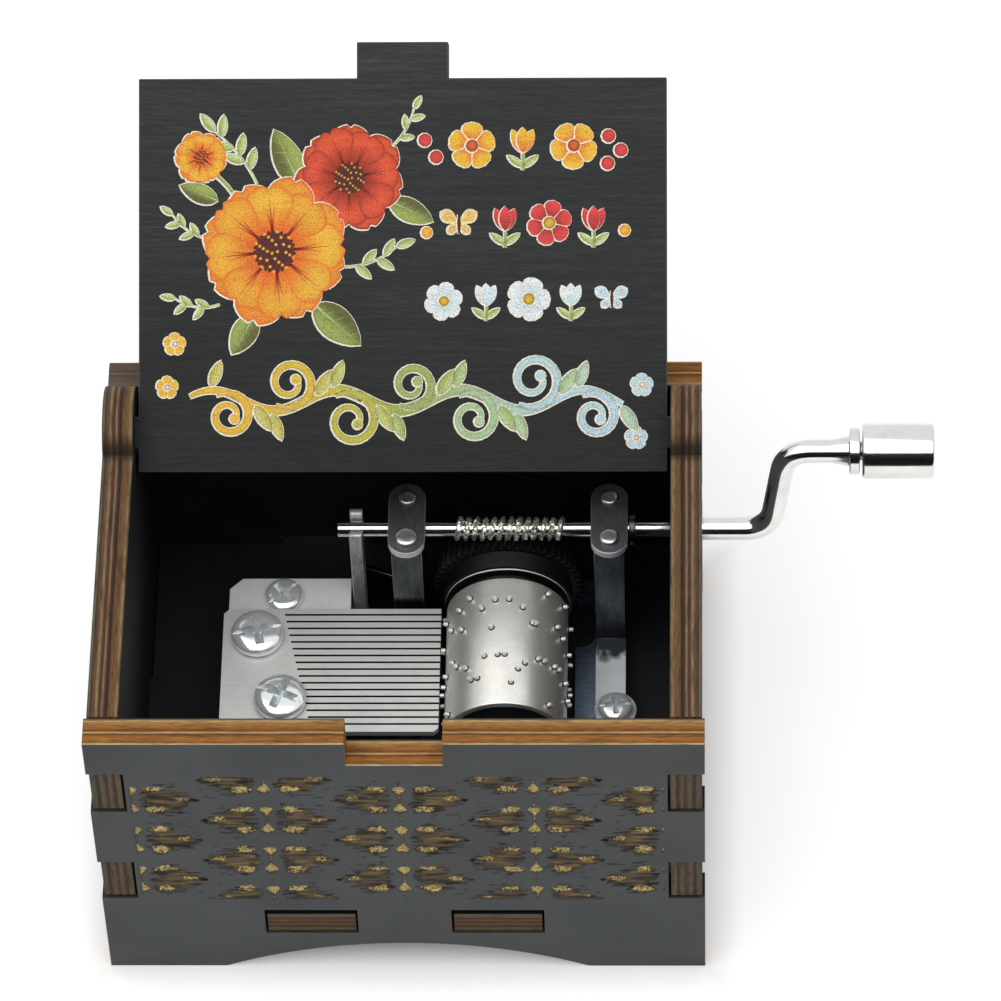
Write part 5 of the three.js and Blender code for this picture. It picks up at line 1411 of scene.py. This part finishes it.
threads, given, result = growth("thread_on_rod", {
    "Turns": 12.0, "Pitch": 0.001, "Middle Radius": 0.001, "Depth": 0.0007, "Root Width": 0.0008,
    "Crest Width": 0.0002})
coil = wired(threads, "GeometryNodeCurveSpiral", {
    "Resolution": 40, "Rotations": given["Turns"], "Start Radius": given["Middle Radius"],
    "End Radius": given["Middle Radius"],
    "Height": maths(threads, "MULTIPLY", given["Turns"], given["Pitch"])})
tooth = wired(threads, "GeometryNodeCurvePrimitiveQuadrilateral", {
    "Offset": 0.0, "Bottom Width": given["Root Width"], "Top Width": given["Crest Width"],
    "Height": given["Depth"]}, mode="TRAPEZOID")
wound = wired(threads, "GeometryNodeCurveToMesh", {
    "Curve": wired(threads, "GeometryNodeSetCurveNormal", {"Curve": coil}, mode="Z_UP"),
    "Profile Curve": moved(threads, tooth, Rotation=(0, 0, math.radians(90))), "Fill Caps": True})
spread = planted(threads, given["Geometry"], moved(threads, wound, Rotation=(0, math.radians(90), 0)))
real = wired(threads, "GeometryNodeRealizeInstances", {"Geometry": spread})

# The cut is a little torn, so each turn glitters instead of shining as one line.
torn = add(threads, "ShaderNodeTexNoise", {"Scale": 9000.0, "Detail": 1.0}).outputs["Color"]
torn = wired(threads, "ShaderNodeVectorMath", {0: torn, 1: (0.5, 0.5, 0.5)}, operation="SUBTRACT")
torn = wired(threads, "ShaderNodeVectorMath", {0: torn, "Scale": 0.55 * mm}, operation="SCALE")
rough_cut = wired(threads, "GeometryNodeSetPosition", {"Geometry": real, "Offset": torn})
flat = wired(threads, "GeometryNodeSetShadeSmooth", {"Geometry": rough_cut, "Shade Smooth": False})
threads.links.new(finished(threads, flat, given["Finish"]), result["Geometry"])
rod_steel = metal("rod_steel", (226, 226, 222), (204, 205, 203), 0.16, (0.2, 1, 1), 0.15)
thread_steel = metal("thread_steel", (255, 255, 246), (170, 168, 156), 0.14, brushing=1.0, scale=6500,
                     metallic=0.8)
thread_turns, thread_sunk = 13, 0.08
thread_start = Vector((
    (worm_middle - (thread_turns - 1) / 2 * worm_pitch) * mm, shaft_centre.y, shaft_centre.z))
thread = grown("worm_thread", [thread_start], {}, threads, {
    "Turns": float(thread_turns), "Pitch": worm_pitch * mm, "Middle Radius": (worm_core + worm_tip) / 2 * mm,
    "Depth": (worm_tip - worm_core + thread_sunk) * mm, "Root Width": 0.68 * mm, "Crest Width": 0.2 * mm,
    "Finish": thread_steel})
shaft.data.materials.append(rod_steel)
for piece in (shaft, thread):
    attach(piece, "crank")
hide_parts("worm_shaft")
low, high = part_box("shaft_collar")
collar = turned("rod_collar", shaft_centre, "x", eased(
    banded(0.92, (high.y - low.y) / 2 / mm, low.x / mm, high.x / mm), 0.1), loop=True, sides=64)
collar.data.materials.append(dark_plate)
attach(collar, "crank")
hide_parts("shaft_collar")


# Crank: one chromed steel rod bent twice into an arm, pressed into the shaft's end, with a
# flare and a flange where the turning knob starts.
knob_low, knob_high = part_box("knob")
grip_axis = (knob_low + knob_high) / 2
throw = Vector((0, grip_axis.y - shaft_centre.y, grip_axis.z - shaft_centre.z))
arm, grip_level = throw.normalized(), throw.length / mm
rod_radius, bend_reach, elbow_stand_off, arm_lean, rod_sides = 1.25, 2.8, 7.3, 1.6, 48
flare_length, flare_radius, flange_radius, flange_thickness = 1.9, 1.62, 2.5, 1.1
stub_radius, stub_end, knob_gap, shaft_gap = 1.0, knob_high.x / mm - 1.6, 0.25, 0.05
flange_start = knob_low.x / mm - knob_gap - flange_thickness
flange_end, flare_start = flange_start + flange_thickness, flange_start - flare_length
lower_corner = right_end / mm + elbow_stand_off
upper_corner = lower_corner + arm_lean
corners = [Vector((shaft_high.x / mm + shaft_gap, 0.0)), Vector((lower_corner, 0.0)),
           Vector((upper_corner, grip_level)), Vector((flare_start, grip_level))]
path = [(corners[0], rod_radius)]
for last, corner, following in zip(corners, corners[1:], corners[2:]):
    before, after = (corner + (near - corner).normalized() * bend_reach for near in (last, following))
    path.append(((path[-1][0] + before) / 2, rod_radius))
    for step in range(15):
        t = step / 14
        path.append(((1 - t) ** 2 * before + 2 * t * (1 - t) * corner + t * t * after, rod_radius))
# The first and last corners of this profile only guide the easing, and are cut off.
for radius, place in eased([
        (rod_radius, flare_start - 0.4), (rod_radius, flare_start), (flare_radius, flange_start),
        (flange_radius, flange_start), (flange_radius, flange_end), (stub_radius, flange_end),
        (stub_radius, stub_end)], 0.14)[4:-4]:
    path.append((Vector((place, grip_level)), radius))
path.append((Vector((stub_end, grip_level)), stub_radius))
work = bmesh.new()
rings = []
for k, (point, radius) in enumerate(path):
    ahead = path[min(len(path) - 1, k + 1)][0] - path[max(0, k - 1)][0]
    straight = point.x > upper_corner + bend_reach or ahead.length <= 1e-9
    heading = Vector((1, 0)) if straight else ahead.normalized()
    hub = Vector((point.x * mm, shaft_centre.y, shaft_centre.z)) + arm * point.y * mm
    upward = Vector((-heading.y, 0, 0)) + arm * heading.x
    rings.append(ring_round(work, hub, upward, Vector((1, 0, 0)).cross(arm), radius, rod_sides))
crank_arm = skinned("crank_arm", work, rings)
chrome = metal("chrome", (228, 228, 225), (212, 212, 210), 0.12, brushing=0.05, scale=600)
crank_arm.data.materials.append(chrome)
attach(crank_arm, "crank")
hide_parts("crank_rod")


# Knob: a chromed brass barrel that turns freely on the crank's end, with eased rims.
# Its bore stops short of the closed outer end.
knob_radius = (knob_high.z - knob_low.z) / 2 / mm
knob_bore, bore_end = 1.12, knob_high.x / mm - 1.2
knob = turned("grip_barrel", Vector((0, grip_axis.y, grip_axis.z)), "x", eased([
    (0, bore_end), (knob_bore, bore_end), (knob_bore, knob_low.x / mm),
    (knob_radius, knob_low.x / mm), (knob_radius, knob_high.x / mm), (0, knob_high.x / mm)], 0.3))
knob.data.materials.append(chrome)
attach(knob, "knob")
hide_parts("knob")
